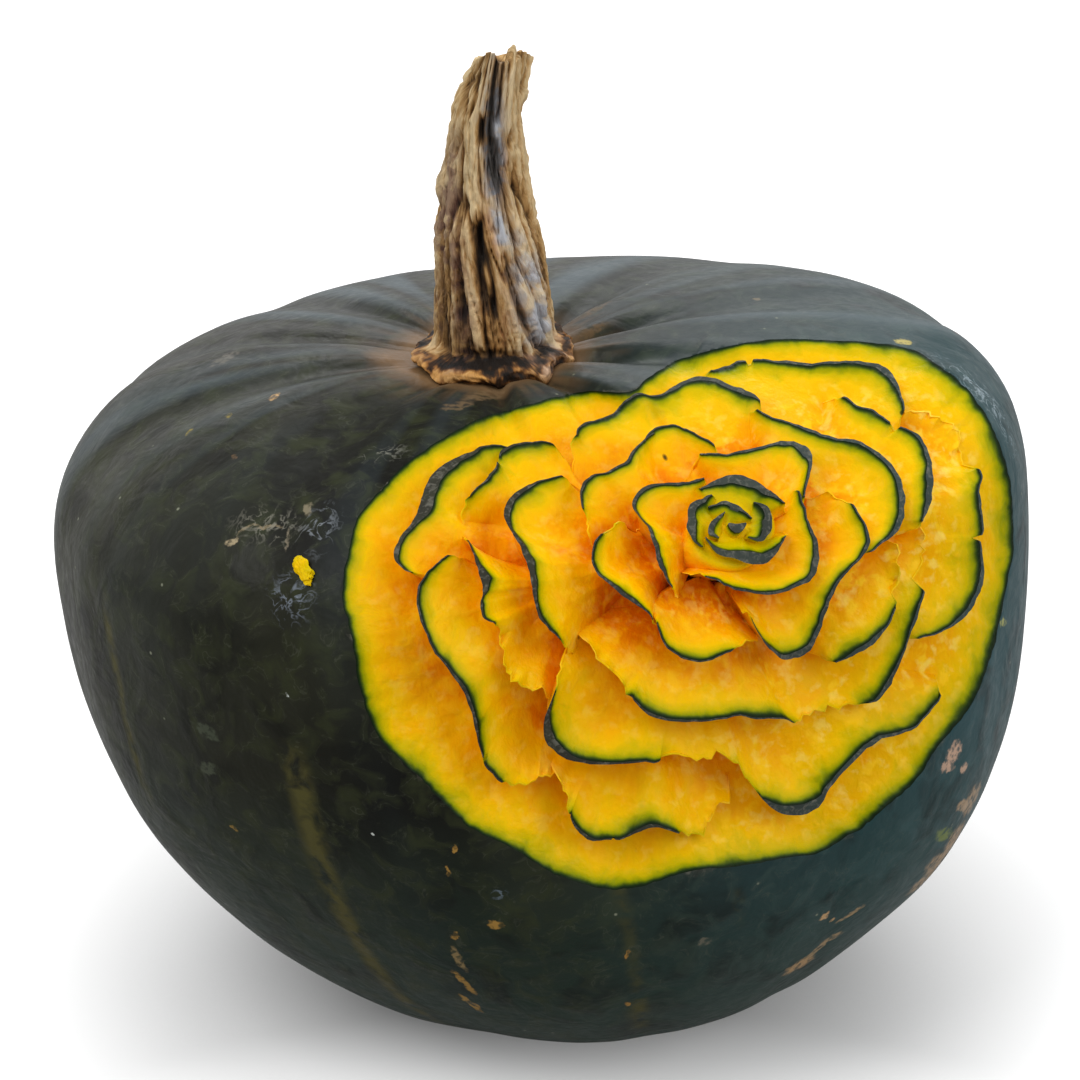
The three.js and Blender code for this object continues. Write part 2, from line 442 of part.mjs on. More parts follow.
/** The hollow that the rose stands in, as the tool that would cut it out whole. */
function craterSolid() {
  const places = OUTLINE.map(([u, v]) => new THREE.Vector3(u, v, 0));
  const closed = new THREE.CatmullRomCurve3(places, true, 'centripetal');
  const ring = closed.getSpacedPoints(CRATER.around).slice(0, -1).map(({ x, y }) => [x, y]);
  const profile = [
    ...CRATER.stations.toReversed().map((share) => [share, -hollowAt(CRATER, share * CRATER.across)]),
    ...CRATER.stations.map((share) => [share, CRATER.clearance]),
  ];
  return roundSolid(ring, CRATER.centre, profile);
}

/** Plan points of a circle about the bud. */
function circle([u, v], radius, count) {
  return Array.from({ length: count }, (_, step) => {
    const turn = (step / count) * 2 * Math.PI;
    return [u + radius * Math.cos(turn), v + radius * Math.sin(turn)];
  });
}

/** The bud: a short plug that flares towards its root, cut into curled leaves on top. */
function budSolid() {
  const flare = -BUD.flare / BUD.radius;
  const plug = roundSolid(circle([0, 0], BUD.radius, BUD.around), [0, 0],
    [[BUD.core, -BUD.root], [flare, -BUD.root], [0, -BUD.top - BUD.shoulder], [BUD.bevel, -BUD.top]]);
  const tip = roundSolid(circle(BUD_TIP.centre, BUD_TIP.radius, BUD_TIP.around), BUD_TIP.centre,
    [[0, -BUD_LEAF.root], [0, RIND_KEPT]]);
  const leaves = Object.values(BUD_LEAVES).map((leaf) => petalSolid(BUD_LEAF, leaf));
  return wasm.Manifold.union([plug, tip, ...leaves]);
}

/** The fruit, with the rose cut into it and a flat patch to rest on. */
function carvedFruit() {
  const petals = Object.values(PETALS).map((petal) => petalSolid(PETAL, petal));
  const rose = wasm.Manifold.union([...petals, budSolid()]);
  const patch = new THREE.BoxGeometry(PATCH.across, PATCH.across, PATCH.depth);
  patch.translate(0, 0, -FRUIT.centre.z - PATCH.depth / 2);
  const cutAway = mainLump(craterSolid().subtract(rose));
  return mainLump(bodySolid().subtract(cutAway).subtract(solidFrom(patch)));
}

// ---- the stem and the crumb ----

/** The stem: a ridged, slightly twisted tube about its line, sawn off at a slant. */
function stemSolid() {
  const line = new THREE.CatmullRomCurve3(STEM.line.map(([height, aside, radius]) =>
    new THREE.Vector3(aside, radius, height)), false, 'centripetal');
  const base = stemEnd.clone().multiplyScalar(skinRadius(stemEnd));
  const { around: corners, levels, ridges, outOfRound, saw } = STEM;
  const points = [];
  for (let level = 0; level < levels; level += 1) {
    const { x: aside, y: radius, z: height } = line.getPoint(level / (levels - 1));
    for (let corner = 0; corner < corners; corner += 1) {
      const turn = (corner / corners) * 2 * Math.PI;
      const folded = ridges.count * (turn + height * ridges.twist) + ridges.crowding * Math.sin(2 * turn);
      const ridge = ridges.height * (Math.abs(Math.cos(folded / 2)) - ridges.evenness);
      const lobe = outOfRound.share * Math.sin(outOfRound.lobes * turn + height * outOfRound.twist);
      const reach = radius * (1 + ridge + lobe);
      const [side, back] = [aside + reach * Math.cos(turn), reach * Math.sin(turn)];
      points.push(new THREE.Vector3(side, back, height).add(base));
    }
  }
  const triangles = joinSections(levels, corners, { cornersClose: true });
  const [footLevel, crownLevel] = [STEM.line[0], STEM.line.at(-1)].map(([height, aside]) =>
    points.push(new THREE.Vector3(aside, 0, height).add(base)) - 1);
  const topRing = (levels - 1) * corners;
  for (let corner = 0; corner < corners; corner += 1) {
    const beside = (corner + 1) % corners;
    triangles.push([footLevel, beside, corner], [crownLevel, topRing + corner, topRing + beside]);
  }
  const block = new THREE.BoxGeometry(saw.width, saw.width, saw.thickness);
  block.translate(0, 0, saw.thickness / 2);
  block.rotateY(-saw.lowSide);
  block.translate(base.x, base.y, base.z + saw.height);
  return solidOf(points, triangles).subtract(bodySolid(GAP)).subtract(solidFrom(block));
}

/** The scrap of flesh, which lies on the rind. */
function crumbSolid() {
  const [long, wide, high] = CRUMB.size;
  const lump = new THREE.IcosahedronGeometry(1, 1);
  lump.scale(long / 2, wide / 2, high / 2);
  const normal = outward(skinAt(CRUMB.at));
  const along = planRight.clone().applyAxisAngle(planBack, -CRUMB.slant).projectOnPlane(normal).normalize();
  const across = new THREE.Vector3().crossVectors(normal, along);
  lump.applyMatrix4(new THREE.Matrix4().makeBasis(along, across, normal));
  lump.translate(...overSkin(CRUMB.at, high * (0.5 - CRUMB.sunk)).toArray());
  return solidFrom(lump).subtract(bodySolid(GAP));
}

// ---- the object ----

const rindAndFlesh = new THREE.MeshStandardMaterial({ color: '#3b4038', roughness: 0.5, metalness: 0 });
const cork = new THREE.MeshStandardMaterial({ color: '#a8845a', roughness: 0.9, metalness: 0 });
const flesh = new THREE.MeshStandardMaterial({ color: '#e8a81c', roughness: 0.4, metalness: 0 });

const squash = new THREE.Group();
squash.add(
  meshFrom('fruit', carvedFruit(), rindAndFlesh),
  meshFrom('stem', stemSolid(), cork),
  meshFrom('flesh_crumb', crumbSolid(), flesh),
);

export default squash;
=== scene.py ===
"""A buttercup squash with a rose carved into its shoulder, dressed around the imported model.

Lengths are in millimetres until a mesh is finished, then in metres. The fruit, with its petals and
bud, is one mesh: a sphere drawn out to the fruit's shape, less a hollow in which the petals stand.
"""
import logging
import math
from dataclasses import dataclass
from enum import Enum
from functools import partial

import bpy
import numpy as np
from mathutils import Matrix, Vector, noise


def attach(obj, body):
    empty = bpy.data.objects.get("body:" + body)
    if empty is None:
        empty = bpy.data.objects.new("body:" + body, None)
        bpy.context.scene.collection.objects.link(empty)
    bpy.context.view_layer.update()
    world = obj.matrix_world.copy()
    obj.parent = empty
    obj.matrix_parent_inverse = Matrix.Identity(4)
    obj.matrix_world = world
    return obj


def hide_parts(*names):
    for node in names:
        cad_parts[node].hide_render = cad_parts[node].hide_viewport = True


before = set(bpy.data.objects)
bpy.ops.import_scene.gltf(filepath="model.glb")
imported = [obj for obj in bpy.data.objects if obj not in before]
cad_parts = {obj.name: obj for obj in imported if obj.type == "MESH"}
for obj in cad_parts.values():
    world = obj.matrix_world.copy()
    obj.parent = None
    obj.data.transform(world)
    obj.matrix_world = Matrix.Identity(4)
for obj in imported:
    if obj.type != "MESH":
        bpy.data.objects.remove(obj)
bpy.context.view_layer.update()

MM = 0.001  # in metres
TO_MM = (1000, 1000, 1000)  # scale of a Mapping node that turns metres to millimetres
QUARTER_TURN = 90  # in degrees
RIND_KEPT = 2.0  # top of a rim that keeps its rind, clear of the skin
RIND_DEPTH = 0.12  # a face that lies no deeper than this is rind
EASED_END = -2.5  # lowest end of a rim that is near the skin beside it
log = logging.getLogger("squash")

Piece = bpy.types.Object
Tree = bpy.types.NodeTree
Points = np.ndarray
Rim = list[tuple[float, ...]]


# ---------------------------------------------------------------- helpers for meshes

def deselect_all() -> None:
    """Clears the selection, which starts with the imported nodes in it."""
    if bpy.context.object and bpy.context.object.mode != "OBJECT":
        bpy.ops.object.mode_set(mode="OBJECT")
    bpy.ops.object.select_all(action="DESELECT")


def select_only(piece: Piece) -> None:
    """Selects one piece and makes it the active one."""
    deselect_all()
    bpy.context.view_layer.objects.active = piece
    piece.select_set(True)


def take_new(name: str) -> Piece:
    """Names the primitive that was just added.

    Args:
        name: the object's and its mesh's new name.
    Returns:
        The active object.
    """
    made = bpy.context.active_object
    made.name = name
    made.data.name = name
    return made


def corners_of(piece: Piece) -> Points:
    """The vertices of a piece as rows of x, y and z."""
    flat = np.empty(len(piece.data.vertices) * 3)
    piece.data.vertices.foreach_get("co", flat)
    return flat.reshape(-1, 3)


def move_corners(piece: Piece, places: Points) -> None:
    """Puts the vertices of a piece at new places."""
    piece.data.vertices.foreach_set("co", places.reshape(-1))
    piece.data.update()


def rod(name: str, sides: int, rings: int) -> tuple[Piece, Points, Points]:
    """Adds a capped rod, cut across into rings, to be drawn out to shape.

    Args:
        name: the piece's name.
        sides: corners in each ring.
        rings: number of rings, the two ends included.
    Returns:
        The rod, and each vertex's ring number and corner number.
    """
    deselect_all()
    bpy.ops.mesh.primitive_cylinder_add(vertices=sides, radius=1, depth=2, end_fill_type="NGON")
    piece = take_new(name)
    bpy.ops.object.mode_set(mode="EDIT")
    bpy.ops.mesh.select_all(action="DESELECT")
    bpy.ops.object.mode_set(mode="OBJECT")
    places = corners_of(piece)
    for edge in piece.data.edges:
        low, high = edge.vertices
        edge.select = bool(abs(places[low][2] - places[high][2]) > 1)
    bpy.ops.object.mode_set(mode="EDIT")
    bpy.ops.mesh.select_mode(type="EDGE")
    bpy.ops.mesh.subdivide(number_cuts=rings - 2)
    bpy.ops.object.mode_set(mode="OBJECT")
    return (piece, *numbered(corners_of(piece), sides, rings))


def numbered(places: Points, sides: int, rings: int) -> tuple[Points, Points]:
    """Ring and corner number of the vertices of a rod that is still straight."""
    ring = np.rint((places[:, 2] + 1) / 2 * (rings - 1)).astype(int)
    corner = np.rint(np.arctan2(places[:, 0], places[:, 1]) / (2 * math.pi) * sides).astype(int) % sides
    return ring, corner


def ball(name: str, around: int, levels: int) -> tuple[Piece, Points, Points]:
    """Adds a sphere to be drawn out to shape.

    Args:
        name: the piece's name.
        around: corners round each level.
        levels: levels between the two poles.
    Returns:
        The ball, and each vertex's level (0 at the low pole, levels + 1 at the high one) and corner.
    """
    deselect_all()
    bpy.ops.mesh.primitive_uv_sphere_add(segments=around, ring_count=levels + 1, radius=1)
    piece = take_new(name)
    places = corners_of(piece)
    level = np.rint((1 - np.arccos(np.clip(places[:, 2], -1, 1)) / math.pi) * (levels + 1)).astype(int)
    corner = np.rint(np.arctan2(places[:, 1], places[:, 0]) / (2 * math.pi) * around).astype(int) % around
    return piece, level, corner


def cut_away(piece: Piece, tool: Piece) -> None:
    """Cuts a closed mesh from a piece.

    Args:
        piece: what is cut.
        tool: the mesh that is cut from it, which is used up.
    """
    cutter = piece.modifiers.new("cutter", "BOOLEAN")
    cutter.operation = "DIFFERENCE"
    cutter.solver = "MANIFOLD"
    cutter.object = tool
    select_only(piece)
    bpy.ops.object.modifier_apply(modifier=cutter.name)
    bpy.data.objects.remove(tool)


def finish_piece(piece: Piece, crease: float) -> None:
    """Brings a piece from millimetres to metres and shades it smooth, but for edges past an angle.

    Args:
        piece: a mesh in millimetres.
        crease: the angle past which an edge stays sharp, in radians.
    """
    places = corners_of(piece)
    places[:, 2] = np.maximum(places[:, 2], 0)
    move_corners(piece, places * MM)
    select_only(piece)
    bpy.ops.object.shade_smooth_by_angle(angle=crease)


def store(piece: Piece, name: str, values: np.ndarray) -> None:
    """Keeps a number or a vector for each vertex of a piece, for its material to read."""
    kind, field_name = ("FLOAT", "value") if values.ndim == 1 else ("FLOAT_VECTOR", "vector")
    piece.data.attributes.new(name, kind, "POINT").data.foreach_set(field_name, values.reshape(-1))


def smooth_noise(places: Points, size: float, seed: float = 0.0) -> np.ndarray:
    """Soft noise between about -1 and 1.

    Args:
        places: points in millimetres.
        size: width of a bump in millimetres.
        seed: shifts the pattern.
    Returns:
        A number for each point.
    """
    scaled = places / size + seed
    return np.array([noise.noise(Vector(place)) for place in scaled])


# ---------------------------------------------------------------- the shape of the fruit

@dataclass(frozen=True)
class Skin:
    """The fruit's outer surface, as a distance from its centre in every direction."""

    centre: tuple[float, float, float] = (6.3, -2.4, 97.6)
    lean_left: float = math.radians(6.1)
    lean_back: float = math.radians(3)
    girth: float = 90
    shoulder: float = 41.5
    shoulder_fullness: float = 3.1
    belly: float = 99.5
    belly_fullness: float = 2.25
    skew_x: float = -0.088
    skew_y: float = 0.08
    oval: float = 0.055
    stem_dimple: tuple[float, float] = (5, 22)
    blossom_dimple: tuple[float, float] = (2.5, 7)
    stem_at: tuple[float, float, float] = (-17.24, -1.03, 35.81)
    furrows: int = 10
    furrow_depth: float = 2.4

    def axes(self) -> np.ndarray:
        """Columns are the fruit's own axes, its stem end along the third.

        Returns:
            A matrix of three by three.
        """
        side, top = math.cos(self.lean_left), math.sin(self.lean_left)
        level, back = math.cos(self.lean_back), math.sin(self.lean_back)
        tilt_left = np.array([[side, 0, -top], [0, 1, 0], [top, 0, side]])
        tilt_back = np.array([[1, 0, 0], [0, level, back], [0, -back, level]])
        return tilt_back @ tilt_left

    def from_stem(self, own: Points) -> tuple[np.ndarray, np.ndarray]:
        """How far unit directions, in the fruit's own axes, lie to the side and back of its ribs' pole.

        The ribs start at the stem, which stands off the fruit's axis, and end at the blossom.

        Args:
            own: unit directions, a row for each.
        Returns:
            Distances to the side and to the back.
        """
        stem = np.array(self.stem_at) @ self.axes() / np.linalg.norm(self.stem_at)
        share = ((1 + own[:, 2]) / (1 + stem[2])) ** 2
        return own[:, 0] - stem[0] * share, own[:, 1] - stem[1] * share

    def radius(self, directions: Points) -> np.ndarray:
        """Distance of the skin from the centre along unit directions.

        Args:
            directions: unit directions, a row for each.
        Returns:
            A distance in millimetres for each.
        """
        own = directions @ self.axes()
        x, y, z = own.T
        around = np.hypot(x, y)
        above = z > 0
        end = np.where(above, self.shoulder, self.belly)
        fullness = np.where(above, self.shoulder_fullness, self.belly_fullness)
        plain = ((around / self.girth) ** fullness + (np.abs(z) / end) ** fullness) ** (-1 / fullness)
        skewed = plain * (1 + self.skew_x * x * around + self.skew_y * y * around
                          + self.oval * (x * x - y * y))
        side, back = self.from_stem(own)
        from_pole = np.hypot(side, back)
        aside = skewed * from_pole
        depth = np.where(above, self.stem_dimple[0], self.blossom_dimple[0])
        width = np.where(above, self.stem_dimple[1], self.blossom_dimple[1])
        return skewed - depth * np.exp(-((aside / width) ** 2)) - self.furrow(side, back, z, from_pole)

    def furrow(self, side: np.ndarray, back: np.ndarray, z: np.ndarray, around: np.ndarray) -> np.ndarray:
        """Depth of the shallow folds that run down from the stem."""
        groove = self.groove(np.arctan2(back, side))
        on_shoulder = np.exp(-(((around - 0.55) / 0.3) ** 2)) * np.maximum(0, z) * 1.15
        off_pole = np.minimum(1, around / 0.35) ** 2
        return self.furrow_depth * groove * off_pole * (on_shoulder + 0.35 * around)

    def groove(self, turn: np.ndarray) -> np.ndarray:
        """1 in the middle of each fold and 0 on the ribs between, by the angle round the stem."""
        wander = 0.35 * np.sin(2 * turn + 1) + 0.2 * np.sin(3 * turn + 4)
        return (0.5 - 0.5 * np.cos(self.furrows * turn + 2 * wander)) ** 3

    def above(self, points: Points) -> np.ndarray:
        """Height of points over the skin along the line from the centre."""
        length = np.linalg.norm(points, axis=1)
        return length - self.radius(points / length[:, None])

    def outward(self, points: Points) -> Points:
        """Unit normals of the skin nearest to points.

        Args:
            points: rows of x, y and z.
        Returns:
            A row for each.
        """
        reach = 0.5
        slopes = [self.above(points + reach * axis) - self.above(points - reach * axis)
                  for axis in np.eye(3)]
        normals = np.stack(slopes, axis=1)
        return normals / np.linalg.norm(normals, axis=1)[:, None]

    def depth(self, points: Points) -> np.ndarray:
        """Depth of points below the skin, along its normal."""
        inwards = -self.above(points)
        length = np.linalg.norm(points, axis=1)
        facing = np.sum(points / length[:, None] * self.outward(points), axis=1)
        return inwards * facing


@dataclass(frozen=True)
class RosePlan:
    """The flat plan that the rose is laid out in, seen from in front and above.

    u runs to the right and v up the fruit, in millimetres from the bud.
    """

    skin: Skin
    eye: tuple[float, float, float] = (-8.3, -533.5, 247.1)
    look_down: float = math.radians(25)
    distance: float = 518.4
    bud_right: float = 33.7
    bud_up: float = 2.6

    def frame(self) -> tuple[np.ndarray, np.ndarray, np.ndarray]:
        """Unit vectors to the right, up the plan, and away from the eye."""
        sine, cosine = math.sin(self.look_down), math.cos(self.look_down)
        return np.array([1.0, 0, 0]), np.array([0, sine, cosine]), np.array([0, cosine, -sine])

    def sight(self, spots: Points) -> Points:
        """Unit directions from the eye through plan points."""
        right, up, back = self.frame()
        lines = (back * self.distance + np.outer(self.bud_right + spots[:, 0], right)
                 + np.outer(self.bud_up + spots[:, 1], up))
        return lines / np.linalg.norm(lines, axis=1)[:, None]

    def spot_of(self, points: Points) -> Points:
        """Plan points at which points of the fruit are seen."""
        right, up, back = self.frame()
        seen = points - np.array(self.eye)
        scale = self.distance / (seen @ back)
        return np.stack([seen @ right * scale - self.bud_right, seen @ up * scale - self.bud_up], axis=1)

    def on_skin(self, spots: Points) -> Points:
        """Skin points seen through plan points, found by halving.

        Args:
            spots: rows of u and v.
        Returns:
            Rows of x, y and z.
        """
        lines = self.sight(spots)
        near = np.full(len(spots), self.distance - 90.0)
        far = np.full(len(spots), self.distance + 70.0)
        for _ in range(32):
            middle = (near + far) / 2
            outside = self.skin.above(self.eye + lines * middle[:, None]) > 0
            near, far = np.where(outside, middle, near), np.where(outside, far, middle)
        return self.eye + lines * near[:, None]

    def over_skin(self, spots: Points, heights: np.ndarray) -> Points:
        """Points at heights over the skin, negative below it, above plan points."""
        points = self.on_skin(spots)
        return points + self.skin.outward(points) * heights[:, None]

    def feet(self, spots: Points, sunk: np.ndarray) -> Points:
        """Plan points of the skin above places that are seen at plan points and lie sunk below it.

        Args:
            spots: rows of u and v.
            sunk: how far below the skin each place lies.
        Returns:
            Rows of u and v.
        """
        points = self.on_skin(spots)
        normals = self.skin.outward(points)
        lines = self.sight(spots)
        sunk = np.maximum(sunk, 0)[:, None]
        slant = np.sum(lines * normals, axis=1)[:, None]
        return self.spot_of(points - lines * sunk / slant + normals * sunk)


# ---------------------------------------------------------------- the carving

@dataclass(frozen=True)
class Cut:
    """How steeply and how deep the knife goes behind a rim."""

    depth: float
    reach: float
    root: float
    undercut: float
    step: float
    faces: int
    ripple: float = 0.0
    calm: float = 2.6
    tail: float = 6.0
    drop: float = 11.0

    def hollow(self, inwards: np.ndarray) -> np.ndarray:
        """Depth of the cut at a distance in from its rim."""
        return self.depth * (1 - np.exp(-inwards / self.reach))


PETAL_CUT = Cut(depth=8.5, reach=8.5, root=15, undercut=2.6, step=0.5, faces=12, ripple=0.3)
LEAF_CUT = Cut(depth=2.2, reach=1.7, root=4, undercut=0.6, step=0.4, faces=6, ripple=0.1, calm=0.8,
               tail=1.4, drop=3.0)
CRATER_CUT = Cut(depth=12, reach=11, root=0, undercut=0, step=1.0, faces=22, ripple=0.35)


def along_rim(values: np.ndarray, step: float, spread: float) -> np.ndarray:
    """Smooths values that lie a step apart along a rim, over about the distance spread.

    Args:
        values: a number for each place.
        step: distance between places.
        spread: width of the smoothing.
    Returns:
        The smoothed values.
    """
    if spread < step / 4:
        return values
    apart = np.arange(len(values)) * step
    weight = np.exp(-0.5 * ((apart[:, None] - apart[None, :]) / spread) ** 2)
    return weight @ values / weight.sum(axis=1)


@dataclass(frozen=True)
class Petal:
    """A leaf of flesh that leans out from its root, with a strip of rind left along its rim.

    rim holds (u, v, strip width, top), anticlockwise about the root. With no top the rind is kept; a
    negative top says how far below the rind the flesh is torn or dives under its neighbours.
    """

    root: tuple[float, float]
    rim: Rim

    def sampled(self, step: float) -> tuple[Points, np.ndarray, np.ndarray]:
        """Plan points, tops and strip widths along the rim, a step apart.

        Args:
            step: distance between places along the rim.
        Returns:
            The points, the tops and the widths.
        """
        knots = np.array([[row[0], row[1], row[3] if len(row) > 3 else RIND_KEPT] for row in self.rim])
        for end, beside in ((0, 1), (-1, -2)):
            if knots[beside, 2] > -1:
                knots[end, 2] = max(knots[end, 2], EASED_END)
        strips = np.array([row[2] for row in self.rim])
        length = np.linalg.norm(np.diff(knots[:, :2], axis=0), axis=1).sum()
        along = np.linspace(0, len(knots) - 1, max(8, round(length / step)))
        places = centripetal(knots, along)
        return places[:, :2], places[:, 2], np.interp(along, range(len(strips)), strips)


def centripetal(knots: Points, along: np.ndarray) -> Points:
    """Points on a centripetal Catmull-Rom curve, by knot number along it.

    Args:
        knots: the points that it runs through.
        along: knot numbers, with fractions.
    Returns:
        A point for each number.
    """
    padded = np.vstack([2 * knots[0] - knots[1], knots, 2 * knots[-1] - knots[-2]])
    first = np.clip(along.astype(int), 0, len(knots) - 2)
    share = (along - first)[:, None]
    p0, p1, p2, p3 = (padded[first + k] for k in range(4))
    t01, t12, t23 = (np.maximum(np.linalg.norm(b - a, axis=1), 1e-6)[:, None] ** 0.5
                     for a, b in ((p0, p1), (p1, p2), (p2, p3)))
    m1 = (p2 - p1 + t12 * ((p1 - p0) / t01 - (p2 - p0) / (t01 + t12)))
    m2 = (p2 - p1 + t12 * ((p3 - p2) / t23 - (p3 - p1) / (t12 + t23)))
    a = 2 * (p1 - p2) + m1 + m2
    b = -3 * (p1 - p2) - 2 * m1 - m2
    return ((a * share + b) * share + m1) * share + p1


OUTLINE = [
    (48, -3), (48, 3), (46.7, 10.5), (43.5, 18), (39.6, 23), (35, 27), (30, 30), (23.8, 31.2), (12, 31.8),
    (4.3, 31.4), (-3.5, 30), (-10.5, 28), (-15.5, 25), (-17.5, 23.4), (-26, 23), (-31, 22), (-38.7, 19.5),
    (-44, 18), (-54.3, 12), (-60.7, 6.4), (-65, 1), (-66.8, -5), (-67.7, -11.6), (-66, -21), (-63.8, -31),
    (-60.7, -37.3), (-53.6, -44.4), (-46.5, -51.3), (-38.7, -55.8), (-29.4, -61), (-23, -62.6),
    (-16.8, -62.3), (-9.7, -60), (4.3, -58.1), (14.5, -56.2), (19.2, -53.4), (23.8, -49.9), (30.9, -43.5),
    (34, -39), (39.6, -32), (43.5, -23.5), (46, -14.5),
]

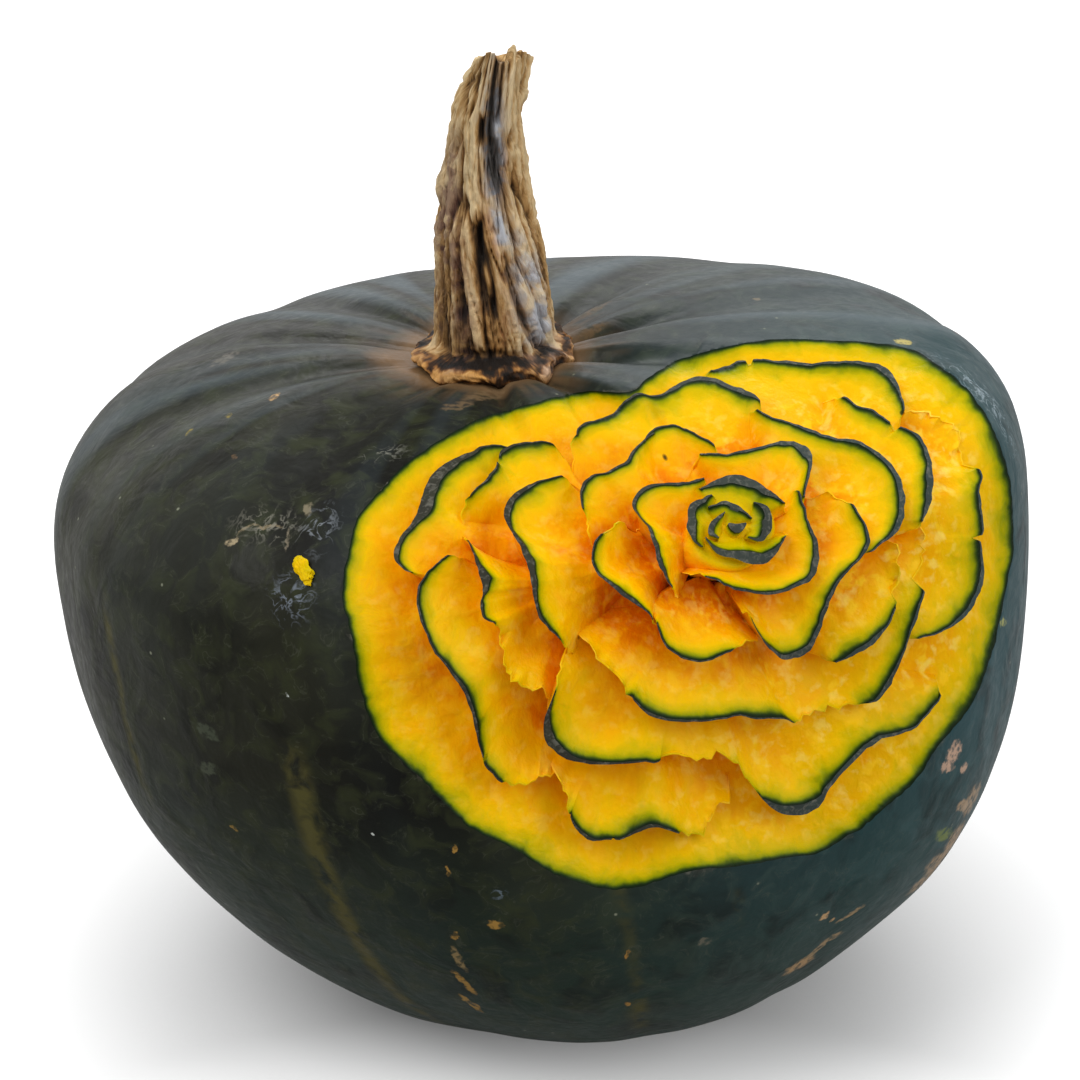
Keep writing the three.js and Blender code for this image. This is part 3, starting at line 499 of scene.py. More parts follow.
PETALS = {
    "inner_top": Petal((2, 2), [
        (11.4, 3.6, 0.3, -5), (12.2, 6, 0.7), (12.9, 8.5, 0.9), (13.4, 11.2, 1.1), (12.9, 12.9, 2),
        (10.3, 14.2, 1.1), (7, 14.4, 0.9), (3.5, 13.4, 0.8), (-1, 12.4, 0.6), (-4.6, 12.2, 0.5),
        (-7, 11.6, 0.3, -6)]),
    "inner_right": Petal((1, -0.5), [
        (-6.5, -8.5, 0.3, -5.5), (-3.4, -9.6, 0.5), (0, -11.2, 0.7), (4.9, -12, 0.8),
        (10.4, -10.9, 0.9), (13.4, -9, 1.3), (14.4, -6, 1.4), (14, -2.4, 1.1), (12.9, 0.2, 0.7),
        (11.6, 4, 0.4), (10.5, 6.5, 0.2, -4)]),
    "inner_left": Petal((-4, 1), [
        (-4.6, 8.2, 0.3, -3), (-6.6, 7.8, 0.8), (-9.5, 7.3, 0.8), (-13.1, 7.2, 0.9), (-16.3, 6.3, 1.1),
        (-17.9, 3.9, 1), (-16.7, 1.5, 0.5), (-15.1, -0.2, 0.7), (-14.1, -3, 0.9), (-13.2, -6.5, 1.3),
        (-12, -9.2, 0.7), (-10, -12, 0.3, -5)]),
    "second_top": Petal((-5, 6), [
        (-2.5, 12.6, 0.3, -6), (-5, 14.8, 0.4), (-8.5, 16.7, 0.5), (-10.8, 17.6, 0.6),
        (-13.2, 17.1, 0.6), (-15.2, 15.7, 0.5), (-16.2, 13, 0.3, -5)]),
    "second_left": Petal((-8, 3), [
        (-13.2, 16, 0.3, -3), (-15.4, 15.2, 0.5), (-17.3, 13.4, 0.8), (-18.9, 11, 0.8),
        (-22.1, 9.3, 0.7), (-24.9, 8.6, 0.8), (-26.7, 6.4, 0.8), (-26.6, 4, 0.4), (-25.9, 1.2, 0, -1.5),
        (-24.8, -2.5, 0, -4), (-23, -5, 0, -8)]),
    "third_left": Petal((-8, -3), [
        (-17.5, 1, 0, -6), (-20.3, -0.2, 0, -1.5), (-22.8, -1.5, 0, -0.5), (-24.4, -3.6, 0.5),
        (-24.8, -5.8, 0.5), (-23.6, -8.5, 0.7), (-20.7, -11.2, 1), (-17.6, -13.6, 1),
        (-15.3, -15.1, 0.5), (-13.9, -17, 0, -2), (-12.3, -20, 0, -6)]),
    "second_bottom": Petal((-2, -7), [
        (-13.6, -15.6, 0, -5), (-13.1, -18.4, 0.6), (-12.1, -20.8, 0.6), (-9.6, -22.7, 0.4),
        (-6.3, -23.6, 0.3), (-3.2, -22.8, 0.3), (0, -21.1, 0, -0.8), (2.4, -20, 0, -2),
        (5, -19.5, 0, -6)]),
    "second_right": Petal((4, -3), [
        (2.2, -15.5, 0, -4), (3.5, -18, 0.4), (5.6, -21, 0.8), (7.8, -22.9, 1.2), (10.6, -23.1, 1.4),
        (13.2, -21.4, 1.5), (14.7, -18, 1.2), (15.7, -14.8, 1.1), (17, -11.5, 0.9), (19.4, -8, 0.7),
        (21.9, -5.6, 0.8), (23.2, -3.2, 1), (23, -0.8, 0.8), (21.7, 1.2, 0.4), (19.4, 3.9, 0, -0.8),
        (16, 5.4, 0, -1.8), (12.5, 5.3, 0, -5)]),
    "third_top": Petal((-4, 7), [
        (5.5, 20, 0, -6), (2.7, 22.8, 1), (0.2, 23.9, 1.1), (-3.5, 25.3, 1), (-7.5, 25.5, 1),
        (-11.5, 23.5, 0.8), (-14, 22.6, 0.6), (-16.6, 22.9, 0.7), (-18.9, 21.8, 0.7),
        (-21.5, 19.3, 0.6), (-26.3, 17.4, 0.7), (-28, 14, 0, -7)]),
    "third_right": Petal((5, 1), [
        (21.5, -5.5, 0, -6), (24.8, -3.6, 0.7), (27.8, -1.4, 1.2), (29.2, 2, 1.3), (29.3, 5.5, 1.3),
        (27.8, 9.4, 1.1), (25.2, 12.2, 1), (21.7, 14.4, 1), (16.8, 15.2, 0.8), (12.5, 16.6, 0.8),
        (9, 17.9, 0.5), (5.8, 18.5, 0.3), (1.5, 19.4, 0, -3.5), (-2, 20, 0, -8)]),
    "third_bottom_right": Petal((9, -6), [
        (12.5, -22.5, 0, -6), (15.5, -23.4, 0, -2.2), (18.6, -23.3, 0.5), (21.4, -22.1, 1.1),
        (24.1, -20.1, 1.2), (26.3, -17, 0.5), (27.6, -12.5, 0, -1.5), (28.2, -7.5, 0, -2.2),
        (27.5, -3.5, 0, -3), (25.5, -1, 0, -7)]),
    "third_bottom": Petal((2, -8), [
        (-27.5, -19, 0, -7), (-24.8, -22, 0, -3.2), (-21.2, -25.2, 0, -2.6), (-18.6, -28.4, 0, -1.4),
        (-17.3, -30.5, 0.6), (-14.6, -33, 0.9), (-10.2, -34, 0.9), (-5, -33.9, 0.7), (0.5, -33.1, 0.6),
        (4, -33.6, 0.6), (8.2, -33.5, 0.4), (10.5, -34, 0, -1.5), (13.5, -32.7, 0, -2.2),
        (18, -31.5, 0, -2), (22, -30.7, 0, -1.2), (24.6, -30.1, 0.8), (26.8, -27.9, 1.2),
        (28.4, -24.3, 0.9), (29.9, -20.2, 0.5), (31.2, -16.4, 0.9), (32.2, -13, 0.8),
        (31.5, -9, 0, -2.5), (32.6, -5, 0, -3), (32.4, -1.5, 0, -3), (31, 2, 0, -7)]),
    "third_far_left": Petal((-12, -2), [
        (-28.5, 8.6, 0, -6), (-32, 8, 0.4), (-35.2, 7.2, 1), (-38.6, 5.2, 1.4), (-40, 2.4, 1.5),
        (-39, -0.6, 0.8), (-37.5, -3, 1.1), (-36, -6.5, 1.6), (-35.2, -10, 1.3), (-34.8, -13.4, 0.9),
        (-33.5, -16.6, 0.8), (-32.1, -17.9, 0.4), (-29.8, -20.6, 0, -2), (-28, -23.5, 0, -6)]),
    "outer_top": Petal((6, 6), [
        (29.2, 18, 0, -6), (28.9, 21.4, 0.5), (28.3, 24.3, 1.1), (26.7, 26.6, 1.4), (23.7, 28, 1.1),
        (19, 28.3, 0.8), (12.5, 28, 0.8), (7.5, 28.3, 0.7), (4.5, 28.5, 0.4), (2.5, 28.1, 0, -0.8),
        (0.6, 28, 0.4), (-2.2, 26.9, 0.3), (-6, 26, 0, -6)]),
    "outer_right": Petal((9, 2), [
        (31.2, -0.5, 0, -6), (33, 2.2, 0.9), (34, 5.3, 1.5), (34, 9.5, 1.3), (33.2, 13.1, 1),
        (31.6, 15.5, 0.8), (29.5, 16.5, 0.4), (27.6, 16.9, 0, -1.5), (25.6, 18.5, 0.4), (23.2, 20, 0.5),
        (20.8, 20.4, 0.4), (16.5, 21.5, 0, -2.5), (12, 22.5, 0, -8)]),
    "rim_right": Petal((12, -3), [
        (30, -20, 0, -6), (33.6, -19.1, 0.4), (36.4, -18.2, 0.6), (39.2, -16.6, 1), (41.4, -14, 1.1),
        (42.9, -10.4, 1.1), (43.3, -6.8, 0.9), (42.5, -3.6, 0.6), (42.5, -2.2, 0, -1.2),
        (43, -0.8, 0.6), (42.6, 3, 0.8), (42.2, 6.3, 0.7), (42.2, 8.2, 0.4), (40.3, 10.8, 0, -2.5),
        (39, 14, 0, -3), (37.4, 17, 0, -3), (33.5, 18.6, 0, -2.8), (29, 19.3, 0, -4), (26, 19.5, 0, -8)]),
    "outer_bottom": Petal((1, -14), [
        (-28.5, -21, 0, -7), (-30.2, -24, 0, -3), (-30.9, -27.2, 0, -2), (-31.9, -30.4, 0.6),
        (-33.2, -34.5, 1.6), (-32.8, -37.2, 2.1), (-30.3, -39.9, 1.6), (-26, -41.2, 1.1),
        (-21, -41.4, 0.9), (-16.5, -41.1, 0.8), (-13.7, -40.9, 0.4), (-12.6, -40, 0, -1.5),
        (-9.5, -39.7, 0, -2), (-6.2, -40.6, 0, -2), (-3.6, -39.4, 0, -2.4), (-0.6, -40.4, 0, -2.2),
        (1.8, -43.4, 0, -1.6), (3.8, -46.2, 0, -0.6), (5.7, -48.4, 1.2), (7.8, -49.8, 2),
        (10.8, -50.1, 2.1), (14.3, -48.8, 1.7), (16.2, -45.6, 1.1), (18.4, -43, 1), (21.7, -39.6, 1.2),
        (24.4, -37.5, 1.2), (28.4, -36, 0.9), (31.4, -35.1, 0.8), (32.8, -33.1, 0.5),
        (34.4, -31.2, 0.4), (36.5, -28, 0, -6)]),
    "outer_left": Petal((-20, -5), [
        (-47, -1.5, 0, -6), (-45.4, -4.5, 0.5), (-44.7, -6.8, 1), (-43.9, -9.5, 2), (-43.5, -11.5, 1.2),
        (-43.8, -12.6, 0.4), (-44, -14, 0.8), (-43.7, -15.9, 0.7), (-42.7, -16.6, 0.4),
        (-40.9, -17.5, 0, -2), (-40.5, -20.5, 0, -2.5), (-39.8, -24.6, 0, -2.2), (-37.1, -27.1, 0, -2),
        (-34.3, -28.5, 0, -2.6), (-32, -29.5, 0, -4), (-29.5, -31, 0, -8)]),
    "outer_top_left": Petal((-22, 4), [
        (-30, 13.5, 0, -6), (-33.4, 14.5, 0.5), (-36.4, 14.3, 0.7), (-38.8, 13.9, 0.8),
        (-40.3, 12.8, 0.9), (-40.9, 11.3, 0, -0.8), (-41.5, 9.8, 0.6), (-43, 7.9, 0.8), (-44.7, 6, 0.4),
        (-46.5, 3, 0, -2), (-47.2, 1, 0, -3.5), (-47, -2.5, 0, -7)]),
    "rim_left": Petal((-28, 1), [
        (-38, 12.8, 0, -6), (-40.8, 13.5, 0.4), (-43.5, 13.4, 0.6), (-47, 12.1, 1.3),
        (-50.2, 10.4, 1.9), (-52.6, 8.2, 2.3), (-54, 5.3, 2.7), (-54.8, 2.6, 2.5), (-55.9, 0.4, 1.6),
        (-57.6, -1.7, 1.2), (-59, -4.2, 1.4), (-58.8, -6.2, 1), (-57, -8, 0.5), (-54.6, -8.8, 0, -2.5),
        (-52.5, -9.5, 0, -7)]),
    "rim_lower_left": Petal((-24, -12), [
        (-48.5, -4.8, 0, -6), (-51, -6.2, 0.4), (-53.4, -8.2, 0.6), (-54.8, -10.6, 0.7),
        (-55.1, -13.5, 0.7), (-54.2, -17, 0.7), (-52.4, -20.8, 0.5), (-49.8, -24.8, 0.8),
        (-47.4, -28, 1.1), (-46, -31, 1), (-45, -35, 1), (-44, -39.2, 0.4), (-43.4, -40.6, 0, -0.8),
        (-42.8, -41.9, 0.5), (-41.3, -43.5, 0.4), (-39.3, -44.1, 0, -1.6), (-36, -44.8, 0, -2.2),
        (-33.4, -43.6, 0, -3), (-31, -42.6, 0, -4.5), (-28, -42, 0, -8)]),
    "rim_bottom": Petal((-12, -28), [
        (-32, -41, 0, -7), (-30.6, -43.6, 0, -3), (-29.3, -46.6, 0, -2.4), (-28.5, -49, 0, -1),
        (-28.3, -50.8, 0.5), (-27, -53.2, 1), (-24.6, -54.6, 0.8), (-22.3, -54.4, 0.4),
        (-21, -54.3, 0, -0.6), (-19.6, -54.3, 0.5), (-17.2, -53.3, 1), (-14.8, -52.5, 1.1),
        (-12.6, -52.3, 0.7), (-11, -52.6, 0.4), (-9, -52.9, 0, -1.5), (-6, -52.6, 0, -2.5),
        (-3.5, -50, 0, -3.5), (-1, -47, 0, -5), (0, -43, 0, -9)]),
}

BUD_LEAVES = {
    "top": Petal((0, 1), [
        (8.6, 3, 0.3, -2.5), (8, 4.3, 0.6), (6, 6, 1.4), (3.2, 7.8, 1.8), (0.4, 8.7, 1.8),
        (-2.8, 8.2, 1.6), (-5.4, 6.7, 0.6), (-6.6, 5.6, 0.2, -2)]),
    "left": Petal((-2, 0.5), [
        (-3.6, 5.3, 0.3, -1), (-5.6, 4.7, 1), (-7.5, 3.7, 1.5), (-8.2, 1.1, 1.8), (-8, -1.2, 1.6),
        (-6.7, -3.3, 0.5), (-5.6, -4.4, 0.2, -2)]),
    "bottom": Petal((2, -1), [
        (-5.6, -1.8, 0.2, -2), (-4.6, -3, 0.6), (-2.9, -4.9, 1.5), (-0.5, -5.8, 2), (2, -6.6, 2.3),
        (5, -6.8, 2.6), (7, -5.3, 1.6), (8.2, -3.2, 0.6), (8.6, -1.5, 0.2, -2)]),
    "inner_top": Petal((-1, 0.5), [
        (3.2, 0.6, 0.2, -2), (2.4, 1.6, 0.5), (1, 2.9, 0.9), (-0.8, 3.9, 1.1), (-2.4, 4.1, 1),
        (-4.1, 3.3, 0.4), (-4.8, 2.4, 0.2, -2)]),
    "inner_right": Petal((2.5, 0.5), [
        (1.8, -2.6, 0.2, -2), (2.9, -2.5, 0.6), (4.7, -2.8, 1.2), (5.9, -1.6, 1.6), (6.4, 0.7, 1.8),
        (5.7, 3, 1.5), (3.9, 3.8, 0.5), (2.9, 3.6, 0.2, -2)]),
    "inner_left": Petal((-1.5, -0.5), [
        (-1.6, 2.2, 0.2, -2), (-2.4, 1.8, 0.5), (-4, 0.8, 1.1), (-4.7, -1.3, 1.2), (-3.6, -2, 0.8),
        (-2.6, -2.4, 0.2, -2)]),
}


def within_outline(spots: Points) -> np.ndarray:
    """1 for plan points that lie within the rose's outline, 0 for the others.

    Args:
        spots: rows of u and v.
    Returns:
        A number for each.
    """
    knots = np.array(OUTLINE, float)
    after = np.roll(knots, -1, axis=0)
    right, up = spots[:, :1], spots[:, 1:]
    crosses = (knots[:, 1] > up) != (after[:, 1] > up)
    slant = (after[:, 0] - knots[:, 0]) / (after[:, 1] - knots[:, 1])
    crossing = knots[:, 0] + (up - knots[:, 1]) * slant
    return (np.sum(crosses & (right < crossing), axis=1) % 2).astype(float)


@dataclass
class Carver:
    """Turns plans into the closed meshes that the rose is cut with."""

    plan: RosePlan

    def petal(self, name: str, petal: Petal, cut: Cut) -> Piece:
        """Draws a rod out to a petal: swept along the rim and fanned in towards the root.

        Args:
            name: the piece's name.
            petal: its plan.
            cut: how it is hollowed and undercut.
        Returns:
            A closed mesh that reaches above the skin where rind is kept.
        """
        spots, tops, strips = petal.sampled(cut.step)
        torn = np.clip(-tops / 1.5, 0, 1)
        feet = self.plan.feet(spots, along_rim(np.maximum(-tops, 0), cut.step, cut.calm))
        feet, tops, strips, torn = self.with_tails(petal, cut, feet, tops, strips, torn)
        rim = np.column_stack([feet, np.zeros(len(feet))])
        rough = torn * (1.1 * smooth_noise(rim, 2.4, 3.1) + 1.1 * smooth_noise(rim, 1.15, 7.7))
        notch = torn * (1.1 * smooth_noise(rim, 2.1, 5.3) + 1.0 * smooth_noise(rim, 1.05, 2.9))
        notch += 0.3 * smooth_noise(rim, 1.8, 4.4) + 0.12 * smooth_noise(rim, 0.8, 8.8)
        strips = strips * (1 + 0.22 * smooth_noise(rim, 2.4, 1.9))
        reach = np.linalg.norm(feet - petal.root, axis=1)
        inwards, heights = self.profile(cut, reach, strips, tops, rough)
        sides = inwards.shape[1]
        piece, ring, corner = rod(name, sides, len(feet))
        share = (inwards + notch[:, None] * np.exp(-inwards / 1.2)) / reach[:, None]
        plan_spots = feet[:, None, :] + (np.array(petal.root) - feet)[:, None, :] * share[:, :, None]
        points = self.plan.over_skin(plan_spots.reshape(-1, 2), heights.reshape(-1))
        on_face = heights.reshape(-1) > -cut.root * 0.8
        sunk = np.clip((inwards - strips[:, None]).reshape(-1) / 3, 0, 1) * on_face
        uneven = smooth_noise(points, 6.5, 2.2) + 0.5 * smooth_noise(points, 2.6, 9.1)
        points += self.plan.skin.outward(points) * (cut.ripple * sunk * uneven)[:, None]
        grid = points.reshape(len(feet), sides, 3)
        move_corners(piece, grid[ring, corner])
        return self.outwards(piece)

    @staticmethod
    def with_tails(petal: Petal, cut: Cut, feet: Points, tops: np.ndarray, strips: np.ndarray,
                   torn: np.ndarray) -> tuple[Points, np.ndarray, np.ndarray, np.ndarray]:
        """Carries a rim on at both its ends, bending in and sinking, so that it runs out in the flesh.

        Args:
            petal: the petal whose rim it is.
            cut: how it is cut.
            feet: plan points along the rim.
            tops: height of the rim over the skin.
            strips: width of the strip of rind.
            torn: how ragged the edge is, from 0 to 1.
        Returns:
            The last four, carried on.
        """
        share = np.linspace(0, 1, max(4, round(cut.tail / cut.step)))[1:, None]
        for _ in range(2):
            feet, tops, strips, torn = feet[::-1], tops[::-1], strips[::-1], torn[::-1]
            onwards = feet[-1] - feet[-3]
            onwards /= np.linalg.norm(onwards)
            inwards = petal.root - feet[-1]
            inwards /= np.linalg.norm(inwards)
            tail = feet[-1] + cut.tail * (onwards * share * (1 - 0.45 * share) + inwards * 0.5 * share ** 2)
            start = min(tops[-1], -0.2)
            sunk = start - max(0.5, cut.drop + start) * share[:, 0] ** 1.2
            feet, tops = np.vstack([feet, tail]), np.concatenate([tops, sunk])
            strips = np.concatenate([strips, 0.15 + 0 * sunk])
            torn = np.concatenate([torn, np.clip(1 - share[:, 0] * 2, 0, 1)])
        return feet, tops, strips, torn

    @staticmethod
    def profile(cut: Cut, reach: np.ndarray, strips: np.ndarray, tops: np.ndarray,
                rough: np.ndarray) -> tuple[Points, Points]:
        """Draws a section for each place along the rim.

        Args:
            cut: how the petal is hollowed and undercut.
            reach: distance from the rim to the root.
            strips: width of the strip of rind.
            tops: height of the rim over the skin.
            rough: how far the torn edge stands below that.
        Returns:
            Distances in from the rim and heights over the skin, a row for each place.
        """
        rim = np.minimum(tops, 0)[:, None]
        torn = rim - np.clip(rough, -0.8, 1.6)[:, None] * (tops < 0)[:, None]
        rise = np.maximum(tops[:, None], torn + 0.15)
        edge = np.minimum(np.maximum(strips - 0.35, 0.25), reach * 0.6)[:, None]
        down = np.array([[0.0, 0.12, 0.3, 0.6, 1.0]]) * cut.root
        outer = cut.undercut * (1 - np.exp(-down / cut.root * 3))
        share = np.linspace(0, 0.95, cut.faces) ** 1.5
        fan = share[None, :] * (reach[:, None] - edge)
        face = fan * 0
        for column, part in enumerate(share):
            inwards = float(fan[:, column].mean())
            spread = cut.calm * (1 - math.exp(-inwards / 0.9)) + cut.reach * part
            near_rim = math.exp(-inwards / 0.6)
            base = along_rim(rim[:, 0], cut.step, spread)
            face[:, column] = base + (torn - rim)[:, 0] * near_rim - cut.hollow(fan[:, column])
        face = np.minimum(face, torn)
        ones = np.ones_like(rim)
        inwards = np.hstack([0 * rim, outer * ones, edge + fan[:, -1:], (edge + fan)[:, ::-1], edge])
        heights = np.hstack([rise, torn - down, rim - cut.root, face[:, ::-1], rise])
        return inwards, heights

    @staticmethod
    def outwards(piece: Piece) -> Piece:
        """Turns a closed mesh's faces out.

        Args:
            piece: the mesh.
        Returns:
            The same mesh.
        """
        select_only(piece)
        bpy.ops.object.mode_set(mode="EDIT")
        bpy.ops.mesh.select_all(action="SELECT")
        bpy.ops.mesh.normals_make_consistent(inside=False)
        bpy.ops.object.mode_set(mode="OBJECT")
        return piece

    def round(self, name: str, ring: Points, centre: tuple[float, float], shares: np.ndarray,
              heights: np.ndarray, ripple: float = 0.0) -> Piece:
        """Draws a ball out over a closed plan: each level is the ring, drawn in towards the centre.

        Args:
            name: the piece's name.
            ring: plan points of the outline.
            centre: the plan point that it closes on.
            shares: for each level, how far it is drawn in, from 0 at the ring to 1 at the centre.
            heights: for each level, its height over the skin.
            ripple: unevenness of the cut, in millimetres.
        Returns:
            A closed mesh.
        """
        piece, level, corner = ball(name, len(ring), len(shares))
        share = np.concatenate([[1], shares, [1]])[level][:, None]
        height = np.concatenate([heights[:1], heights, heights[-1:]])[level]
        spots = ring[corner] * (1 - share) + np.array(centre) * share
        points = self.plan.over_skin(spots, height)
        if ripple:
            below = np.clip(-height / 3, 0, 1)
            uneven = ripple * below * smooth_noise(points, 7, 4.4)
            points += self.plan.skin.outward(points) * uneven[:, None]
        move_corners(piece, points)
        return self.outwards(piece)

    def crater(self) -> Piece:
        """The hollow that the rose stands in, as the tool that would cut it out whole.

        Returns:
            A closed mesh.
        """
        knots = np.array(OUTLINE, float)
        closed = np.vstack([knots[-1], knots, knots[:2]])
        along = np.linspace(1, len(knots) + 1, 10 * len(knots), endpoint=False)
        ring = centripetal(closed, along)
        flat = np.column_stack([ring, 0 * along])
        wobble = smooth_noise(flat, 5, 6.6) + 1.8 * np.abs(smooth_noise(flat, 2.6, 1.2))
        ring = ring * (1 + 0.005 * wobble)[:, None]
        across = 50.0
        stations = np.concatenate([[0, 0.003, 0.006], np.linspace(0.05, 0.85, CRATER_CUT.faces) ** 1.4])
        shares = np.concatenate([stations[::-1], stations])
        heights = np.concatenate([-CRATER_CUT.hollow(stations[::-1] * across), np.full(len(stations), 8.0)])
        return self.round("rose_hollow", ring, (-8, -14), shares, heights, CRATER_CUT.ripple)

    def bud(self) -> list[Piece]:
        """The plug in the middle, the curled leaves on it and its tip.

        Returns:
            A closed mesh for each.
        """
        turn = np.linspace(0, 2 * math.pi, 56, endpoint=False)
        circle = np.stack([np.cos(turn), np.sin(turn)], axis=1)
        plug = self.round("bud_plug", circle * 7.6, (0, 0), np.array([0.4, -0.21, -0.1, 0, 0.06, 0.14]),
                          np.array([-9.0, -9.0, -5.5, -2.7, -2.1, -1.9]))
        curl = circle[::4] * [1.5, 0.75]
        curl[:, 1] += 0.35 * curl[:, 0] ** 2 - 0.3
        tip = self.round("bud_tip", curl + [0.4, -0.3], (0.4, -0.5),
                         np.array([-0.15, 0]), np.array([-4.0, RIND_KEPT]))
        leaves = [self.petal(f"bud_{name}", leaf, LEAF_CUT) for name, leaf in BUD_LEAVES.items()]
        return [plug, tip, *leaves]


@dataclass
class Fruit:
    """The squash itself, with the rose cut into it.

    swellings are where it is fuller or flatter than a plain shape: a plan spot, a reach and a height.
    """

    skin: Skin
    around: int = 260
    levels: int = 150
    swellings: tuple[tuple[float, float, float, float], ...] = (
        (-13, -84, 30, 1.7), (-76.5, -71, 26, -2.3), (35, -56, 28, 2.2), (23, -71, 17, -1.7),
        (-113, -32, 22, 0.9), (-106, 28, 22, 0.8), (-97, -55, 20, 1.3), (38, 30, 16, 1.2),
        (36.5, 32.5, 7, 0.9), (28, 33, 12, -0.4), (47, 21, 11, -0.9), (-86, 35.5, 9, 0.8),
        (-103, 23, 9, 0.8))

    def body(self) -> Piece:
        """A ball drawn out to the whole fruit, before it is carved.

        Returns:
            The fruit, centred on the origin, in millimetres.
        """
        piece, _, _ = ball("squash_fruit", self.around, self.levels)
        directions = corners_of(piece) @ self.skin.axes().T
        directions /= np.linalg.norm(directions, axis=1)[:, None]
        move_corners(piece, directions * self.skin.radius(directions)[:, None])
        return piece

    def build(self) -> Piece:
        """Carves the rose and flattens the resting patch.

        Returns:
            The finished fruit, in metres.
        """
        carver = Carver(RosePlan(self.skin))
        piece = self.body()
        hollow = carver.crater()
        for name, petal in PETALS.items():
            cut_away(hollow, carver.petal(name, petal, PETAL_CUT))
            log.info("petal %s", name)
        for leaf in carver.bud():
            cut_away(hollow, leaf)
        self.keep_main_lump(hollow)
        cut_away(piece, hollow)
        deselect_all()
        bpy.ops.mesh.primitive_cube_add(size=200, location=(0, 0, -self.skin.centre[2] - 100))
        cut_away(piece, take_new("resting_patch"))
        self.keep_main_lump(piece)
        self.record_depth(piece)
        points = corners_of(piece)
        swell = 0.45 * smooth_noise(points, 26, 0.7) + 0.1 * smooth_noise(points, 9, 5.1)
        swell += self.folds(points)
        for right, up, reach, height in self.swellings:
            middle = RosePlan(self.skin).on_skin(np.array([(right, up)]))
            swell += height * np.exp(-(np.linalg.norm(points - middle, axis=1) / reach) ** 2)
        points += self.skin.outward(points) * swell[:, None]
        move_corners(piece, points + self.skin.centre)
        finish_piece(piece, math.radians(38))
        return piece

    def folds(self, points: Points) -> np.ndarray:
        """Height of the fine sharp folds that gather round the stem.

        Args:
            points: rows of x, y and z.
        Returns:
            A height for each.
        """
        own = points / np.linalg.norm(points, axis=1)[:, None] @ self.skin.axes()
        side, back = self.skin.from_stem(own)
        away = np.hypot(side, back)
        ring = np.stack([side, back], axis=1) / np.maximum(away, 1e-6)[:, None]
        ridged = sum(height * (0.5 - 1.6 * np.sqrt(0.012 + smooth_noise(
            np.column_stack([ring * radius, away * 1.3]), 1.0, seed) ** 2))
            for height, radius, seed in ((1.5, 2.1, 2.3), (0.45, 4.6, 6.1)))
        gathered = np.clip((away - 0.3) / 0.1, 0, 1) * np.exp(-((away - 0.4) / 0.3) ** 2) * (own[:, 2] > 0)
        return ridged * gathered

    @staticmethod
    def keep_main_lump(piece: Piece) -> None:
        """Deletes every loose lump of a mesh but the one with the most vertices.

        Args:
            piece: the mesh, which keeps its name.
        """
        select_only(piece)
        bpy.ops.object.mode_set(mode="EDIT")
        bpy.ops.mesh.separate(type="LOOSE")
        bpy.ops.object.mode_set(mode="OBJECT")
        lumps = sorted(bpy.context.selected_objects, key=lambda lump: len(lump.data.vertices))
        kept = lumps.pop()
        mesh, name = kept.data, piece.name
        if kept != piece:
            piece.data = mesh
            lumps = [lump for lump in lumps if lump != piece] + [kept]
        for lump in lumps:
            bpy.data.objects.remove(lump)
        piece.name = name

    def record_depth(self, piece: Piece) -> None:
        """Stores how deep each vertex lies below the rind, and where it is round and down the fruit.

        Args:
            piece: the fruit, centred on the origin.
        """
        points = corners_of(piece)
        depth = self.skin.depth(points)
        depth[depth < 0.03] = 0
        from_bud = np.linalg.norm(RosePlan(self.skin).spot_of(points) - [0, -0.8], axis=1)
        in_bud = np.clip((8.6 - from_bud) / 1.6, 0, 1) * (points[:, 1] < 0)
        depth *= 1 - 0.55 * in_bud
        store(piece, "depth", depth)
        store(piece, "crest", self.crests(piece, points))
        store(piece, "carved", within_outline(RosePlan(self.skin).spot_of(points)) * (points[:, 1] < 0))
        own = points / np.linalg.norm(points, axis=1)[:, None] @ self.skin.axes()
        side, back = self.skin.from_stem(own)
        turn = np.arctan2(back, side)
        fall = np.degrees(np.arctan2(np.hypot(side, back), own[:, 2]))
        store(piece, "groove", self.skin.groove(turn))
        store(piece, "meridian", np.stack([np.cos(turn), np.sin(turn), fall / QUARTER_TURN], axis=1))

    @staticmethod
    def crests(piece: Piece, points: Points) -> np.ndarray:
        """How sharply the surface turns out at each vertex: 0 where flat or hollow, 1 at thin edges.

        Args:
            piece: the mesh.
            points: its vertices.
        Returns:
            A number for each vertex.
        """
        ends = np.empty(2 * len(piece.data.edges), int)
        piece.data.edges.foreach_get("vertices", ends)
        here, there = ends.reshape(-1, 2).T
        here, there = np.concatenate([here, there]), np.concatenate([there, here])
        normals = np.empty(3 * len(points), np.float32)
        piece.data.vertex_normals.foreach_get("vector", normals)
        normals = normals.reshape(-1, 3)
        spokes = points[there] - points[here]
        length = np.maximum(np.linalg.norm(spokes, axis=1), 1e-4)
        rise = np.sum(spokes * normals[here], axis=1) / length
        weight = np.minimum(length, 1.0)
        total = np.bincount(here, rise * weight, len(points))
        mean = total / np.maximum(np.bincount(here, weight, len(points)), 1e-6)
        return np.clip((-mean - 0.1) / 0.3, 0, 1)


@dataclass(frozen=True)
class StemMark:
    """A hollow or a lump on the stem, in the shape of a bell.

    turn is its place round the stem, from the front towards the right, and height the place of its
    middle above the foot. It leans by lean for each millimetre below its middle.
    """

    turn: float
    height: float
    half_turn: float
    half_height: float
    rise: float
    lean: float = 0.0

    def at(self, turn: np.ndarray, height: np.ndarray) -> np.ndarray:
        """How far the mark raises the surface, in millimetres."""
        aside = turn - self.turn - self.lean * (self.height - height)
        aside = (aside + math.pi) % (2 * math.pi) - math.pi
        return self.rise * np.exp(-((aside / self.half_turn) ** 2)
                                  - np.abs((height - self.height) / self.half_height) ** 3)


